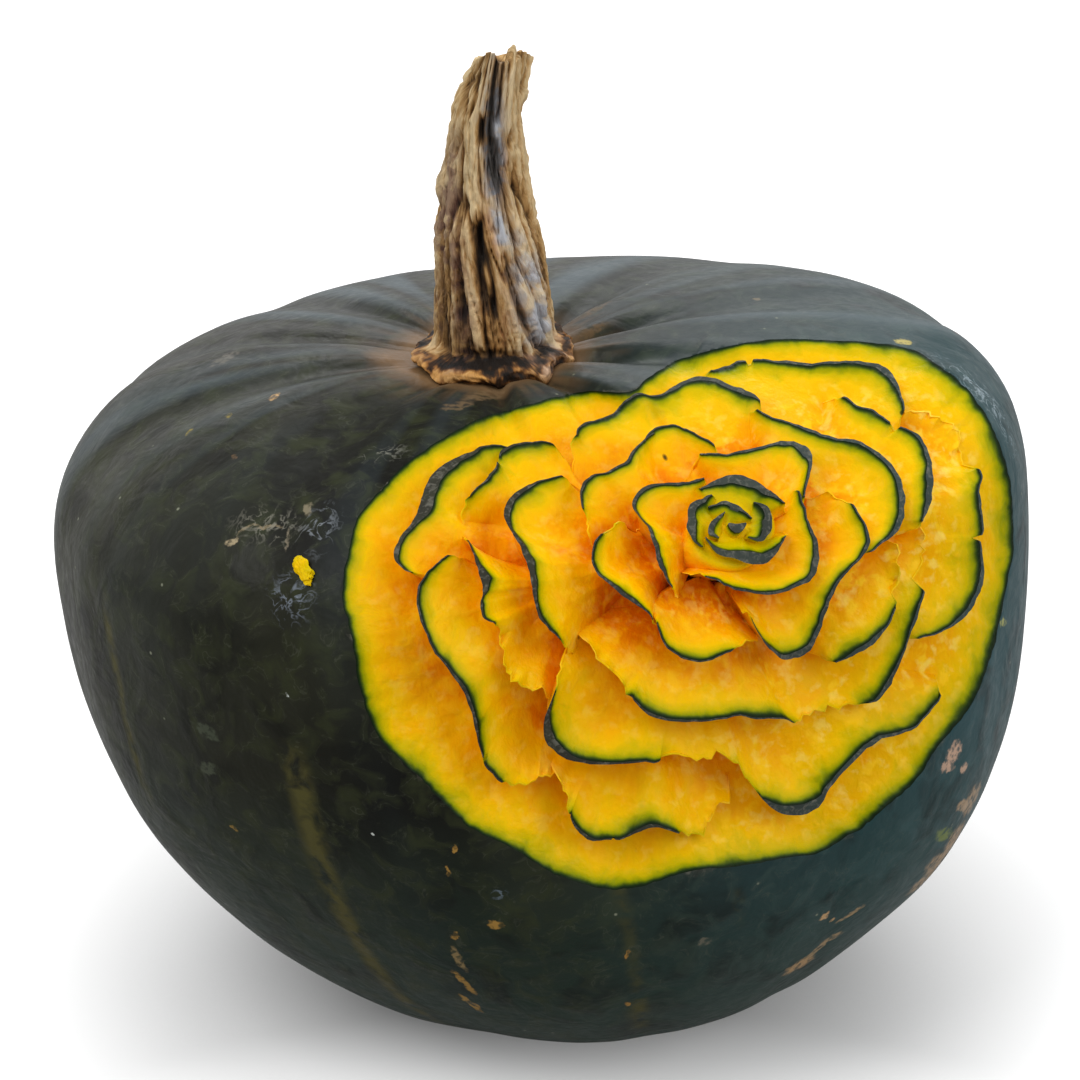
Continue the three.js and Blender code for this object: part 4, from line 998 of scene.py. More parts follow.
@dataclass
class Stem:
    """The dry corky stem, broken off at a slant, with a flared foot."""

    skin: Skin
    around: int = 192
    levels: int = 230
    line: tuple[tuple[float, float, float], ...] = (
        (-3, 0, 12.4), (-0.5, 0, 13.3), (0.8, 0, 14), (2.4, 0.1, 14.2), (3.6, 0.1, 13.6), (4.5, 0.2, 12.2),
        (5.4, 0.2, 10.9), (9, 0.2, 10.9), (18, -0.1, 10.2), (24, -0.7, 9.8), (28, -1.0, 9.4),
        (31, -1.1, 8.9), (35, -1.1, 8.2), (39, -1.2, 7.6), (44, -1.0, 7.1), (50, -0.8, 6.7),
        (56, 0.1, 6.4), (67, 2, 6.2))
    top_rim: tuple[tuple[float, float], ...] = (
        (-1.0, 59.4), (-0.6, 60.8), (-0.3, 62), (-0.08, 61.8), (0.06, 60), (0.3, 59.7), (0.47, 60.2),
        (0.51, 64), (0.55, 60), (0.66, 60.3), (0.8, 61.6), (1.0, 60.6))
    stains: tuple[tuple[StemMark, ...], ...] = (
        (StemMark(0.8, 15, 0.42, 13, 0.85, 0.01), StemMark(0.2, 47, 0.26, 15, 1.6, 0.009),
         StemMark(0.3, 33, 0.1, 6, 0.9)),
        (StemMark(-1.0, 33, 0.45, 13, 1.1), StemMark(-0.5, 13, 0.25, 12, 0.9),
         StemMark(-1.3, 10, 0.4, 8, 0.6)),
        (StemMark(0.0, 1.4, 9.0, 3.6, 2.4), StemMark(0.12, 27, 0.14, 10, 1.2, 0.012),
         StemMark(-0.55, 24, 0.2, 6, 0.8), StemMark(0.5, 40, 0.2, 5, 0.8), StemMark(0.05, 9, 0.35, 8, 0.7)),
    )
    marks: tuple[StemMark, ...] = tuple(StemMark(*row) for row in (
        (0.1, 56, 0.3, 12, -1.1, 0.009), (0.27, 39, 0.2, 9, -1.2, 0.009), (-0.28, 52, 0.1, 6, 1.0, 0.01),
        (0.5, 54, 0.1, 8, 0.8), (-0.17, 48, 0.09, 2.4, -2.6), (-0.48, 56.3, 0.1, 2, -1.5),
        (-0.46, 52.6, 0.1, 2, -1.5, -0.03), (0.72, 46, 0.09, 2, -1.6),
        (-0.85, 44.5, 0.1, 2.4, -1.3, -0.02), (-0.63, 39, 0.06, 4, -1.7), (0.87, 38, 0.06, 4, -1.4),
        (-0.14, 27.5, 0.1, 4.5, -2.4, 0.012), (0.02, 14, 0.2, 12, -0.4, 0.012),
        (1.35, 55.2, 0.2, 0.9, -1.3), (1.4, 53.2, 0.3, 1.5, 0.9), (0.3, 48, 0.1, 1.6, 1.1),
        (-1.45, 36, 0.22, 3, 1.1), (-1.5, 28, 0.2, 3, 0.7), (0.36, 14, 0.12, 17, 1.3, 0.022),
        (0.66, 16, 0.11, 17, 1.0, 0.022), (0.95, 18, 0.11, 18, 0.9, 0.018), (-0.34, 18, 0.09, 14, 0.8),
        (-1.25, 3.2, 0.35, 2.8, 1.6), (-0.75, 1.6, 0.2, 2.2, 1.0), (1.35, 3.6, 0.28, 2.4, 1.3),
        (0.95, 2.4, 0.14, 3, -1.6), (-0.2, 1.0, 0.9, 2.8, 1.5), (-0.7, 1.0, 0.3, 2.8, 0.9),
        (0.8, 1.0, 0.35, 2.8, 1.4), (-0.1, 5.4, 0.45, 1.3, -1.1), (0.08, 1.0, 0.12, 2.5, -0.9),
        (0.4, 2.4, 0.12, 2.4, -1.3), (-0.74, 2.8, 0.12, 1.6, -1.3), (2.3, 2.5, 0.4, 2.5, 1.2),
        (-2.5, 2.5, 0.5, 2.8, 1.0), (2.9, 30, 0.12, 16, -1.8, 0.012), (-2.3, 40, 0.1, 12, -1.5, 0.01)))

    def build(self) -> Piece:
        """Draws a ball out along the stem's line.

        Returns:
            The finished stem, in metres.
        """
        piece, level, corner = ball("cork_stem", self.around, self.levels)
        sunk, lip, inside = 6, 8, 14
        turn = corner / self.around * 2 * math.pi
        top = np.interp(np.sin(turn), *np.array(self.top_rim).T)
        behind = np.clip(0.5 - 2 * np.cos(turn), 0, 1)
        top += 0.5 - behind * np.maximum(0, top - 58.5)
        top += 0.6 * smooth_noise(np.column_stack([3 * np.cos(turn), 3 * np.sin(turn), 0 * turn]), 0.9, 2.2)
        shaft = self.levels - inside - lip
        climb = np.clip((level - sunk) / (shaft - sunk), 0, 1)
        height = -2.2 + (top + 2.2) * climb ** 1.15
        over_lip = np.clip((level - shaft) / lip, 0, 1)
        within = np.clip((level - shaft - lip) / inside, 0, 1)
        share = 0.34 * over_lip + 0.66 * within
        share = np.where(level < sunk, 1 - level / sunk, share)
        height += 0.5 * np.sin(over_lip * math.pi) - 1.2 * over_lip - 6.5 * np.minimum(1, 2.5 * within)
        line = np.array(self.line)
        aside = np.interp(height, line[:, 0], line[:, 1])
        radius = np.interp(height, line[:, 0], line[:, 2])
        taper = np.clip((height - 51) / 10.5, 0, 1) ** 1.3 * np.maximum(0, -np.sin(turn))
        radius *= 1 - 0.62 * taper
        relief = self.relief(turn, height, radius) * (1 - 0.6 * over_lip)
        chips = smooth_noise(np.stack([turn * 3, height, 0 * turn], axis=1), 1.4, 5)
        relief -= 2.5 * over_lip * np.clip(chips, 0, 1)
        reach = (radius + relief) * (1 - share)
        place = np.stack([reach * np.sin(turn) + aside, -reach * np.cos(turn), height], axis=1)
        pole = np.array(self.skin.stem_at) / np.linalg.norm(self.skin.stem_at)
        foot = pole * self.skin.radius(pole[None, :])[0]
        place += foot
        fall = self.skin.above(place) - height
        place[:, 2] -= fall * np.clip(1 - height / 12, 0, 1)
        pits = 1.9 * smooth_noise(place, 2.2, 4.9) + 1.2 * smooth_noise(place, 0.9, 1.9)
        # the stored relief also colours the stem: the collar is darker, with a paler band round its bulge
        # that is partly its own tan rim and partly a painted highlight, with painted shade above and below
        # it; the inside of the broken top is darker, and the stem is paler higher up
        collar = self.on_foot(height) * (1.2 * np.exp(-((height - 2.4) / 1.3) ** 2) - 2.1 + pits)
        paler_higher_up = 0.8 * np.clip((height - 20) / 15, 0, 1)
        store(piece, "relief", relief - 2.2 * within + collar + paler_higher_up)
        store(piece, "tint", np.stack([sum(stain.at(turn, height) for stain in stains)
                                       for stains in self.stains], axis=1))
        streak = turn + self.twist(turn) * height
        store(piece, "grain", np.stack([9 * np.cos(streak), 9 * np.sin(streak), height / 7], axis=1))
        move_corners(piece, place + self.skin.centre)
        Carver.outwards(piece)
        finish_piece(piece, math.radians(50))
        return piece

    @staticmethod
    def twist(turn: np.ndarray) -> np.ndarray:
        """How far the grain turns for each millimetre of height, which differs round the stem."""
        return 0.012 + 0.012 * np.sin(turn + 0.2)

    @staticmethod
    def on_foot(height: np.ndarray) -> np.ndarray:
        """1 on the lumpy collar at the foot, 0 on the shaft."""
        return np.clip((5.4 - height) / 1.2, 0, 1)

    def relief(self, turn: np.ndarray, height: np.ndarray, radius: np.ndarray) -> np.ndarray:
        """How far the surface stands out from the plain round stem, in millimetres.

        Args:
            turn: angles round the stem.
            height: heights over its foot.
            radius: the plain radius there.
        Returns:
            A height for each.
        """
        streak = turn + self.twist(turn) * height
        around = np.column_stack([radius * np.cos(streak), radius * np.sin(streak), height / 8])
        strands = np.minimum(4.4 * np.abs(smooth_noise(around * [1, 1, 0.75], 3.1, 1.3)), 1.25) - 0.95
        fibres = np.minimum(4.2 * np.abs(smooth_noise(around, 1.3, 8.2)), 1.0) - 0.7
        grit = smooth_noise(around * [1, 1, 4], 0.8, 3.3)
        lumps = smooth_noise(around * [1, 1, 4], 3.2, 6.4)
        lumps += 0.6 * smooth_noise(around * [1, 1, 6], 1.5, 2.7)
        on_foot = self.on_foot(height)
        shaft = 1.1 * strands + 0.7 * fibres + 0.3 * grit
        foot = 0.7 * lumps + 0.6 * grit
        return shaft * (1 - on_foot) + foot * on_foot + sum(mark.at(turn, height) for mark in self.marks)


@dataclass
class Crumb:
    """A crumb of flesh that has fallen on the rind, in two small lobes.

    ripeness is the depth at which the flesh has its colour.
    """

    skin: Skin
    spot: tuple[float, float] = (-74.4, -7.8)
    size: tuple[float, float, float] = (2.8, 1.5, 0.9)
    ripeness: float = 1.4

    def build(self) -> Piece:
        """Draws a ball out into the crumb and lays it on the skin.

        Returns:
            The finished crumb, in metres.
        """
        piece, _, _ = ball("flesh_crumb_piece", 48, 30)
        shape = corners_of(piece)
        waist = 1 - 0.25 * np.exp(-((shape[:, 0] - 0.1) / 0.25) ** 2)
        lumps = 1 + 0.3 * smooth_noise(shape, 0.55, 4.1) + 0.22 * smooth_noise(shape, 0.22, 1.7)
        shape = shape * np.column_stack([lumps, lumps * waist, lumps * waist]) * self.size
        middle = RosePlan(self.skin).on_skin(np.array([self.spot]))
        up = self.skin.outward(middle)[0]
        along = np.array([0.62, 0, -0.78])
        along -= up * (along @ up)
        along /= np.linalg.norm(along)
        across = np.cross(up, along)
        places = middle + up * (self.size[2] * 0.45) + shape @ np.array([along, across, up])
        move_corners(piece, places + self.skin.centre)
        finish_piece(piece, math.radians(60))
        store(piece, "depth", np.full(len(places), self.ripeness))
        store(piece, "crest", np.zeros(len(places)))
        return piece


# ---------------------------------------------------------------- finishes

def linear(code: str) -> tuple[float, float, float, float]:
    """Turns an sRGB hex colour to linear red, green and blue, with full alpha."""
    parts = [int(code[i:i + 2], 16) / 255 for i in (1, 3, 5)]
    return (*[p / 12.92 if p <= 0.04045 else ((p + 0.055) / 1.055) ** 2.4 for p in parts], 1.0)


Inputs = dict[str | int, object]


def add(tree: Tree, kind: str, inputs: Inputs | None = None, **settings: object) -> bpy.types.Node:
    """Adds a shader node with its settings and links.

    Args:
        tree: the material's node tree.
        kind: the node's type, without ShaderNode.
        inputs: for each input's name or number, a plain value, a hex colour, a node or a socket.
        settings: the node's own properties; stops are a colour ramp's places and colours.
    Returns:
        The node.
    """
    node = tree.nodes.new("ShaderNode" + kind)
    for name, value in settings.items():
        if name == "stops":
            elements = node.color_ramp.elements
            while len(elements) < len(value):
                elements.new(1)
            for element, (place, code) in zip(elements, value):
                element.position, element.color = place, linear(code)
        else:
            setattr(node, name, value)
    shown = [socket for socket in node.inputs if socket.enabled]
    for name, value in (inputs or {}).items():
        socket = shown[name] if isinstance(name, int) else next(s for s in shown if s.name == name)
        if isinstance(value, bpy.types.Node):
            value = next(output for output in value.outputs if output.enabled)
        if isinstance(value, bpy.types.NodeSocket):
            tree.links.new(value, socket)
        else:
            socket.default_value = linear(value) if isinstance(value, str) else value
    return node


def new_material(name: str) -> tuple[bpy.types.Material, Tree]:
    """An empty material, and its tree."""
    material = bpy.data.materials.new(name)
    material.use_nodes = True
    material.node_tree.nodes.clear()
    return material, material.node_tree


@dataclass(frozen=True)
class Stripe:
    """A pale stripe down the rind. turn is round the fruit and fall down it, both in degrees."""

    turn: float
    width: float
    top: float
    bottom: float
    strength: float
    lean: float = 0.0


class MarkKind(Enum):
    """What a mark is."""

    SPOT = "corky spot"
    SCUFF = "net of fine scuffs"
    SPECK = "dark fleck in the flesh"


@dataclass(frozen=True)
class Mark:
    """A mark on the fruit, at a spot of the rose's plan, with its half width and half height there.

    slant turns it anticlockwise, in degrees. The reaches say how far in from the skin, or from the
    spot that is seen, a mark still colours the surface.
    """

    spot: tuple[float, float]
    half: tuple[float, float]
    colour: str
    strength: float = 0.8
    slant: float = 0.0
    kind: MarkKind = MarkKind.SPOT
    spot_reach: float = 6.0
    speck_reach: float = 12.0

    def frame(self, plan: RosePlan) -> dict[str, tuple[float, float, float]]:
        """Where the mark lies on the fruit, as settings of a Mapping node.

        Args:
            plan: the plan that its spot is on.
        Returns:
            The settings by name.
        """
        around = np.array([self.spot, (self.spot[0] + 1, self.spot[1]), (self.spot[0], self.spot[1] + 1)])
        middle, right, up = plan.on_skin(around)
        if self.kind is MarkKind.SPECK:
            normal, deep = -plan.sight(around)[0], self.speck_reach
        else:
            normal, deep = plan.skin.outward(middle[None, :])[0], self.spot_reach
        right, up = right - middle, up - middle
        along = right - normal * (right @ normal)
        wide, high = self.half[0] * np.linalg.norm(along), self.half[1] * np.linalg.norm(up)
        along /= np.linalg.norm(along)
        axes = Matrix(np.stack([along, np.cross(normal, along), normal], axis=1).tolist())
        axes = axes @ Matrix.Rotation(math.radians(self.slant), 3, "Z")
        return {"Location": tuple(middle + plan.skin.centre), "Rotation": tuple(axes.to_euler()),
                "Scale": (wide, high, max(wide, high, deep))}


@dataclass(frozen=True)
class Grounds:
    """What the rind's patterns are drawn from: places on the fruit, and noises of several sizes.

    fall is the way down from the stem, in quarter turns. carved is 1 within the rose and groove is 1 in
    the folds.
    """

    where: object
    place: bpy.types.Node
    meridian: object
    fall: object
    carved: object
    groove: object
    streaks: object
    rays: object
    broad: object
    dents: object
    patches: object
    fine: object

    @staticmethod
    def read(tree: Tree) -> "Grounds":
        """Adds the nodes that read the places and draw the noises.

        Args:
            tree: the material's node tree.
        Returns:
            The grounds.
        """
        node = partial(add, tree)
        where = node("Mapping", {"Vector": node("TexCoord").outputs["Object"], "Scale": TO_MM})
        meridian = node("Attribute", attribute_name="meridian").outputs["Vector"]
        along = node("Mapping", {"Vector": meridian, "Scale": (90, 90, 24)})
        return Grounds(
            where=where,
            place=node("SeparateXYZ", {0: where}),
            meridian=meridian,
            fall=node("SeparateXYZ", {0: meridian}).outputs["Z"],
            carved=node("Attribute", attribute_name="carved").outputs["Fac"],
            groove=node("Attribute", attribute_name="groove").outputs["Fac"],
            streaks=node("TexNoise", {"Vector": along, "Scale": 1 / 17, "Detail": 1.6, "Distortion": 0.3}),
            rays=node("TexNoise", {"Vector": along, "Scale": 1 / 7, "Detail": 1.2}),
            broad=node("TexNoise", {"Vector": where, "Scale": 1 / 40, "Detail": 3}),
            dents=node("TexNoise", {"Vector": where, "Scale": 1 / 11, "Detail": 3, "Distortion": 0.6}),
            patches=node("TexNoise", {"Vector": where, "Scale": 1 / 5, "Detail": 5, "Distortion": 0.7}),
            fine=node("TexNoise", {"Vector": where, "Scale": 1 / 2.2, "Detail": 4, "Distortion": 0.5}))


@dataclass(frozen=True)
class Rind:
    """Waxy squash rind: nearly black, green below and blue on the right, lighter at its edges partly as
    painted light, with pale wax and a painted sheen in streaks from the stem.

    rubbed is the plan spot round which its wax is dull, and stripe_fade is how far up a stripe comes
    in, in degrees.
    """

    plan: RosePlan
    rubbed: tuple[float, float] = (-52, 14)
    gloss: float = 0.12
    stripe_fade: float = 8
    dark: str = "#0B0B06"
    plain: str = "#15160D"
    pale: str = "#26271C"
    left: str = "#34352A"
    blue: str = "#2D5157"
    green: str = "#2A3F34"
    olive: str = "#4E4A24"
    bloom_and_sheen: str = "#56646A"
    halo: str = "#7A5E40"
    vein: str = "#5A5C50"
    speck: str = "#9CA08A"
    fleck: str = "#76746A"
    strip: str = "#4C4A40"
    worn: str = "#5E5634"
    scar: str = "#8A7650"
    straw: str = "#A8803C"
    rosy: str = "#C9A58C"
    buff: str = "#B39574"
    dusty: str = "#A88C66"
    stripes: tuple[Stripe, ...] = (
        Stripe(-124.5, 2.8, 94, 150, 0.6, -0.12), Stripe(-87.5, 3.0, 136, 150, 0.5),
        Stripe(-87, 2.0, 112, 150, 0.2),
        Stripe(-152.5, 1.5, 80, 110, 0.45), Stripe(-70.3, 1.4, 119, 128, 0.35))
    marks: tuple[Mark, ...] = tuple(Mark(*row) for row in (
        ((-79.5, 21.9), (0.9, 0.7), "#C29A62", 0.95), ((-87.3, 18.8), (0.5, 0.4), "#8A7A30", 0.8),
        ((-94.2, 16.1), (0.5, 0.4), "#8A7A30", 0.9), ((-88.1, 28.2), (1.5, 0.9), "#6E695E", 0.6),
        ((-86.6, 11.7), (0.5, 0.4), "#6A5238", 0.6), ((-23.3, 45.2), (1.6, 1.0), "#8A7255", 0.7),
        ((3.8, 39.4), (0.9, 0.7), "#7A6E58", 0.7), ((29, 31.4), (1.5, 0.5), "#B8A85A", 0.9, -10),
        ((-91.6, -35.9), (2.2, 1.2), "#525A48", 0.5, -30), ((-91.2, -42.3), (1.7, 1.1), "#545B48", 0.5),
        ((-86.9, -52.7), (0.5, 0.5), "#9A7A3A", 0.8), ((-48.7, -55.8), (0.5, 0.7), straw, 0.9),
        ((-49.8, -60), (0.4, 1.1), straw, 0.9), ((-48.4, -71.2), (0.8, 0.7), straw, 0.9),
        ((-47.9, -75.2), (0.9, 2.2), "#8E7850", 0.9, 6), ((-46.8, -79.2), (0.8, 2.0), straw, 0.9, 14),
        ((-45.6, -82.6), (0.7, 1.4), straw, 0.9, 10), ((-41.5, -69.1), (1.6, 0.7), straw, 0.9, -14),
        ((-18.8, -73.8), (0.5, 0.9), "#B0803A", 0.8), ((-18.8, -81.7), (0.4, 0.4), "#B0803A", 0.8),
        ((-5.5, -71.4), (1.2, 0.7), "#6F695A", 0.7, 20), ((37.3, -39.2), (1.1, 1.9), rosy, 0.9, -35),
        ((36.1, -41.5), (1.2, 0.8), rosy, 0.8), ((38.7, -41.6), (0.5, 0.8), rosy, 0.8, -35),
        ((39.6, -46.8), (0.8, 1.3), buff, 0.8), ((38, -47.8), (0.7, 0.7), buff, 0.8),
        ((34.9, -52.7), (1.3, 0.8), "#7F8A40", 0.7), ((36.6, -53.2), (1.2, 1.1), buff, 0.8),
        ((35.1, -55.6), (0.7, 0.8), buff, 0.8), ((33.4, -57.7), (0.9, 0.9), buff, 0.8),
        ((31.8, -60.5), (1.6, 0.9), buff, 0.8, 35), ((10.7, -75.5), (1.6, 0.8), "#B89468", 0.9, 30),
        ((16.4, -70.9), (1.5, 0.5), dusty, 0.8, 40), ((19.6, -66.6), (0.5, 1.6), dusty, 0.8, -35),
        ((14, -72.8), (0.5, 1.4), dusty, 0.8), ((15, -67.2), (0.5, 0.6), "#C8A070", 0.9),
        ((16.3, -67.7), (0.4, 0.4), "#C8A070", 0.9), ((38, 32.8), (1.0, 0.8), "#7A5A44", 0.8),
        ((-47.9, 20.3), (3.4, 0.6), "#7A6448", 0.6, 42), ((-42.5, 22.6), (4.5, 0.7), "#7A6448", 0.6, 6),
        ((-35.5, 26), (4.5, 0.8), halo, 0.7, 24), ((-26.5, 32), (6.0, 1.3), "#6E5638", 0.6, 38),
        ((-24.5, 39), (1.3, 5.0), "#6E5638", 0.5, -35), ((-30, 27.8), (3.0, 1.6), halo, 0.7, 20),
        ((46.3, -16.8), (0.7, 0.7), "#A8A860", 0.9), ((-77.4, -29.4), (0.3, 0.3), "#D0D6D0", 0.9),
        ((-62.7, -53.2), (0.3, 0.3), "#D0D6D0", 0.9), ((-86.8, -2.9), (1.2, 0.7), "#A89878", 0.9, 30),
        ((-84.8, -0.9), (1.6, 0.3), "#8A7C62", 0.8, 45), ((-81, -0.3), (3.2, 0.35), "#8A7C62", 0.8, -2),
        ((-77.3, -2.4), (0.35, 2.2), "#7C7260", 0.8, 6), ((-73.8, 2.6), (0.9, 1.1), "#8A8068", 0.7, 10),
        ((-80.4, -0.2), (6.5, 3.0), "#7C7A6E", 0.8, -8, MarkKind.SCUFF),
        ((-71.8, -0.6), (3.2, 4.0), "#7E848A", 0.8, 0, MarkKind.SCUFF),
        ((-76.6, -12.5), (3.8, 4.4), "#78808A", 0.9, 0, MarkKind.SCUFF),
        ((-60.5, 12.2), (4.0, 1.4), "#7C7C72", 0.8, 0, MarkKind.SCUFF),
        ((-40.6, -64), (1.2, 1.2), "#6E7C88", 0.7, 0, MarkKind.SCUFF),
        ((43.5, 21.5), (1.6, 6.0), "#9FB0B8", 0.7, 20, MarkKind.SCUFF)))

    def material(self) -> bpy.types.Material:
        """Builds the rind's material.

        Returns:
            The material.
        """
        material, tree = new_material("waxy_squash_rind")
        grounds = Grounds.read(tree)
        colour = self.tinted(tree, grounds)
        colour = self.bloom_and_painted_sheen(tree, colour, grounds)
        colour = self.haloed(tree, colour, grounds)
        colour = self.weathered(tree, colour, grounds)
        colour = self.flecked(tree, colour, grounds)
        colour = self.striped(tree, colour, grounds.meridian, grounds.where)
        colour = self.marked(tree, colour, grounds.where)
        add(tree, "OutputMaterial", {"Surface": self.surface(tree, colour, grounds)})
        return material

    def tinted(self, tree: Tree, grounds: Grounds) -> object:
        """Clouds the dark rind, and lightens it at its edges: greyer on the left, partly a painted
        reflection, bluer on the right and greener towards the bottom, partly painted light.

        Args:
            tree: the material's node tree.
            grounds: what the patterns are drawn from.
        Returns:
            The colour.
        """
        node = partial(add, tree)
        x, y, z = (grounds.place.outputs[axis] for axis in "XYZ")
        right, turned, low, left, mottled, shaded = (
            node("MapRange", {"Value": value, "From Min": start, "From Max": end, "To Min": least,
                              "To Max": most})
            for value, start, end, least, most in (
                (x, 0, 85, 0, 0.8), (y, -35, 30, 1, 0.5), (z, 80, 15, 0, 0.75), (x, -50, -96, 0, 0.7),
                (grounds.patches, 0.47, 0.68, 0, 0.55), (grounds.dents, 0.5, 0.66, 0, 0.55)))
        right = node("Math", {0: right, 1: turned}, operation="MULTIPLY")
        mottle = node("Mix", {"Factor": right, "A": "#33381F", "B": "#3C5E66"}, data_type="RGBA")
        colour = node("ValToRGB", {0: grounds.broad}, stops=[
            (0.35, self.dark), (0.5, self.plain), (0.68, self.pale)])
        # the left edge, right side and bottom are lightened: partly the rind's own tone, partly painted
        # light
        for factor, tint in ((left, self.left), (right, self.blue), (low, self.green), (shaded, self.dark),
                             (mottled, mottle)):
            colour = node("Mix", {"Factor": factor, "A": colour, "B": tint}, data_type="RGBA")
        return colour

    def bloom_and_painted_sheen(self, tree: Tree, colour: object, grounds: Grounds) -> object:
        """Adds pale wax with a painted sheen, in streaks down the ribs of the shoulder, stronger towards
        the back and weaker in the folds and near the stem.

        Args:
            tree: the material's node tree.
            colour: the colour so far.
            grounds: what the patterns are drawn from.
        Returns:
            The colour after that.
        """
        node = partial(add, tree)
        light = node("MapRange", {"Value": grounds.streaks, "From Min": 0.42, "From Max": 0.62,
                                  "To Max": 0.7})
        # painted sheen where the ribs catch the light, stronger towards the back, with painted shade in the
        # folds
        for value, start, end, least, most in (
                (grounds.groove, 0, 0.6, 1, 0.15), (grounds.fall, 0.55, 1.05, 1, 0.2),
                (grounds.place.outputs["Y"], -38, 4, 0.2, 1), (grounds.fall, 0.3, 0.55, 0.4, 1)):
            share = node("MapRange", {"Value": value, "From Min": start, "From Max": end,
                                      "To Min": least, "To Max": most})
            light = node("Math", {0: light, 1: share}, operation="MULTIPLY")
        return node("Mix", {"Factor": light, "A": colour, "B": self.bloom_and_sheen}, data_type="RGBA")

    def haloed(self, tree: Tree, colour: object, grounds: Grounds) -> object:
        """Adds the brown halo round the stem: a ring at its foot, and rays.

        Args:
            tree: the material's node tree.
            colour: the colour so far.
            grounds: what the patterns are drawn from.
        Returns:
            The colour after that.
        """
        node = partial(add, tree)
        edge = node("Math", {0: grounds.dents, 1: -0.1, 2: grounds.fall}, operation="MULTIPLY_ADD")
        near, ray, side, ring = (
            node("MapRange", {"Value": value, "From Min": start, "From Max": end, "To Min": least,
                              "To Max": most})
            for value, start, end, least, most in (
                (grounds.fall, 0.2, 0.4, 1.2, 0), (grounds.rays, 0.42, 0.62, 0.1, 0.8),
                (grounds.place.outputs["X"], -45, 0, 0.3, 1), (edge, 0.2, 0.27, 0.9, 0)))
        near = node("Math", {0: near, 1: ray}, operation="MULTIPLY", use_clamp=True)
        near = node("Math", {0: near, 1: side}, operation="MULTIPLY")
        near = node("Math", {0: near, 1: ring}, operation="MAXIMUM")
        return node("Mix", {"Factor": near, "A": colour, "B": self.halo}, data_type="RGBA")

    def weathered(self, tree: Tree, colour: object, grounds: Grounds) -> object:
        """Adds the worn patch that it stands on and the scar at the blossom end.

        Args:
            tree: the material's node tree.
            colour: the colour so far.
            grounds: what the patterns are drawn from.
        Returns:
            The colour after that.
        """
        node = partial(add, tree)
        ground = node("Math", {0: grounds.dents, 1: 5, 2: grounds.place.outputs["Z"]},
                      operation="MULTIPLY_ADD")
        worn = node("MapRange", {"Value": ground, "From Min": 2.2, "From Max": 5.4, "To Min": 0.55,
                                 "To Max": 0})
        colour = node("Mix", {"Factor": worn, "A": colour, "B": self.worn}, data_type="RGBA")
        scar = node("Math", {0: grounds.patches, 1: 0.09, 2: grounds.fall}, operation="MULTIPLY_ADD")
        scar = node("MapRange", {"Value": scar, "From Min": 1.95, "From Max": 1.985, "To Max": 0.9})
        return node("Mix", {"Factor": scar, "A": colour, "B": self.scar}, data_type="RGBA")

    def flecked(self, tree: Tree, colour: object, grounds: Grounds) -> object:
        """Adds thin pale veins and specks all over, and torn pale flecks on the strips in the rose.

        Args:
            tree: the material's node tree.
            colour: the colour so far.
            grounds: what the patterns are drawn from.
        Returns:
            The colour after that.
        """
        node = partial(add, tree)
        winding = node("TexNoise", {"Vector": grounds.where, "Scale": 1 / 5, "Detail": 4,
                                    "Distortion": 1.3})
        winding = node("Math", {0: winding, 1: 0.5}, operation="SUBTRACT")
        winding = node("Math", {0: winding}, operation="ABSOLUTE")
        vein = node("MapRange", {"Value": winding, "From Min": 0.004, "From Max": 0.018, "To Min": 0.22,
                                 "To Max": 0})
        some = node("MapRange", {"Value": grounds.patches, "From Min": 0.45, "From Max": 0.6})
        vein = node("Math", {0: vein, 1: some}, operation="MULTIPLY")
        cells = node("TexVoronoi", {"Vector": grounds.where, "Scale": 1 / 5.5})
        speck = node("MapRange", {"Value": cells.outputs["Distance"], "From Min": 0.03, "From Max": 0.075,
                                  "To Min": 0.6, "To Max": 0})
        chosen = node("Math", {0: cells.outputs["Color"], 1: 0.62}, operation="GREATER_THAN")
        speck = node("Math", {0: speck, 1: chosen}, operation="MULTIPLY")
        strip = node("Math", {0: grounds.carved, 1: 0.4}, operation="MULTIPLY")
        torn = node("TexNoise", {"Vector": grounds.where, "Scale": 1 / 1.1, "Detail": 5, "Distortion": 0.8})
        torn = node("MapRange", {"Value": torn, "From Min": 0.5, "From Max": 0.7, "To Max": 0.6})
        torn = node("Math", {0: torn, 1: grounds.carved}, operation="MULTIPLY")
        for share, tint in ((vein, self.vein), (speck, self.speck), (strip, self.strip),
                            (torn, self.fleck)):
            colour = node("Mix", {"Factor": share, "A": colour, "B": tint}, data_type="RGBA")
        return colour

    def surface(self, tree: Tree, colour: object, grounds: Grounds) -> object:
        """Gives the rind its wax: dents of several sizes, and a sheen that is dull where rubbed or cut.

        Args:
            tree: the material's node tree.
            colour: the rind's colour.
            grounds: what the patterns are drawn from.
        Returns:
            The shader.
        """
        node = partial(add, tree)
        bump = node("Bump", {"Strength": 0.6, "Distance": 0.0010, "Height": grounds.streaks})
        for height, strength, distance in ((grounds.dents, 0.6, 0.0012), (grounds.patches, 0.35, 0.0005),
                                           (grounds.fine, 0.2, 0.0003)):
            bump = node("Bump", {"Strength": strength, "Distance": distance, "Height": height,
                                 "Normal": bump})
        rough = node("MapRange", {"Value": grounds.fine, "From Min": 0.3, "From Max": 0.7, "To Min": 0.28,
                                  "To Max": 0.4})
        rubbed = tuple(self.plan.on_skin(np.array([self.rubbed]))[0] + self.plan.skin.centre)
        away = node("VectorMath", {0: grounds.where, 1: rubbed}, operation="DISTANCE").outputs["Value"]
        matt = node("MapRange", {"Value": away, "From Min": 10, "From Max": 38, "To Min": 0.5,
                                 "To Max": 0})
        rough = node("Math", {0: rough, 1: matt}, operation="ADD")
        rough = node("Math", {0: grounds.carved, 1: 0.45, 2: rough}, operation="MULTIPLY_ADD",
                     use_clamp=True)
        return node("BsdfPrincipled", {"Base Color": colour, "Roughness": rough, "Normal": bump,
                                       "Specular IOR Level": self.gloss})

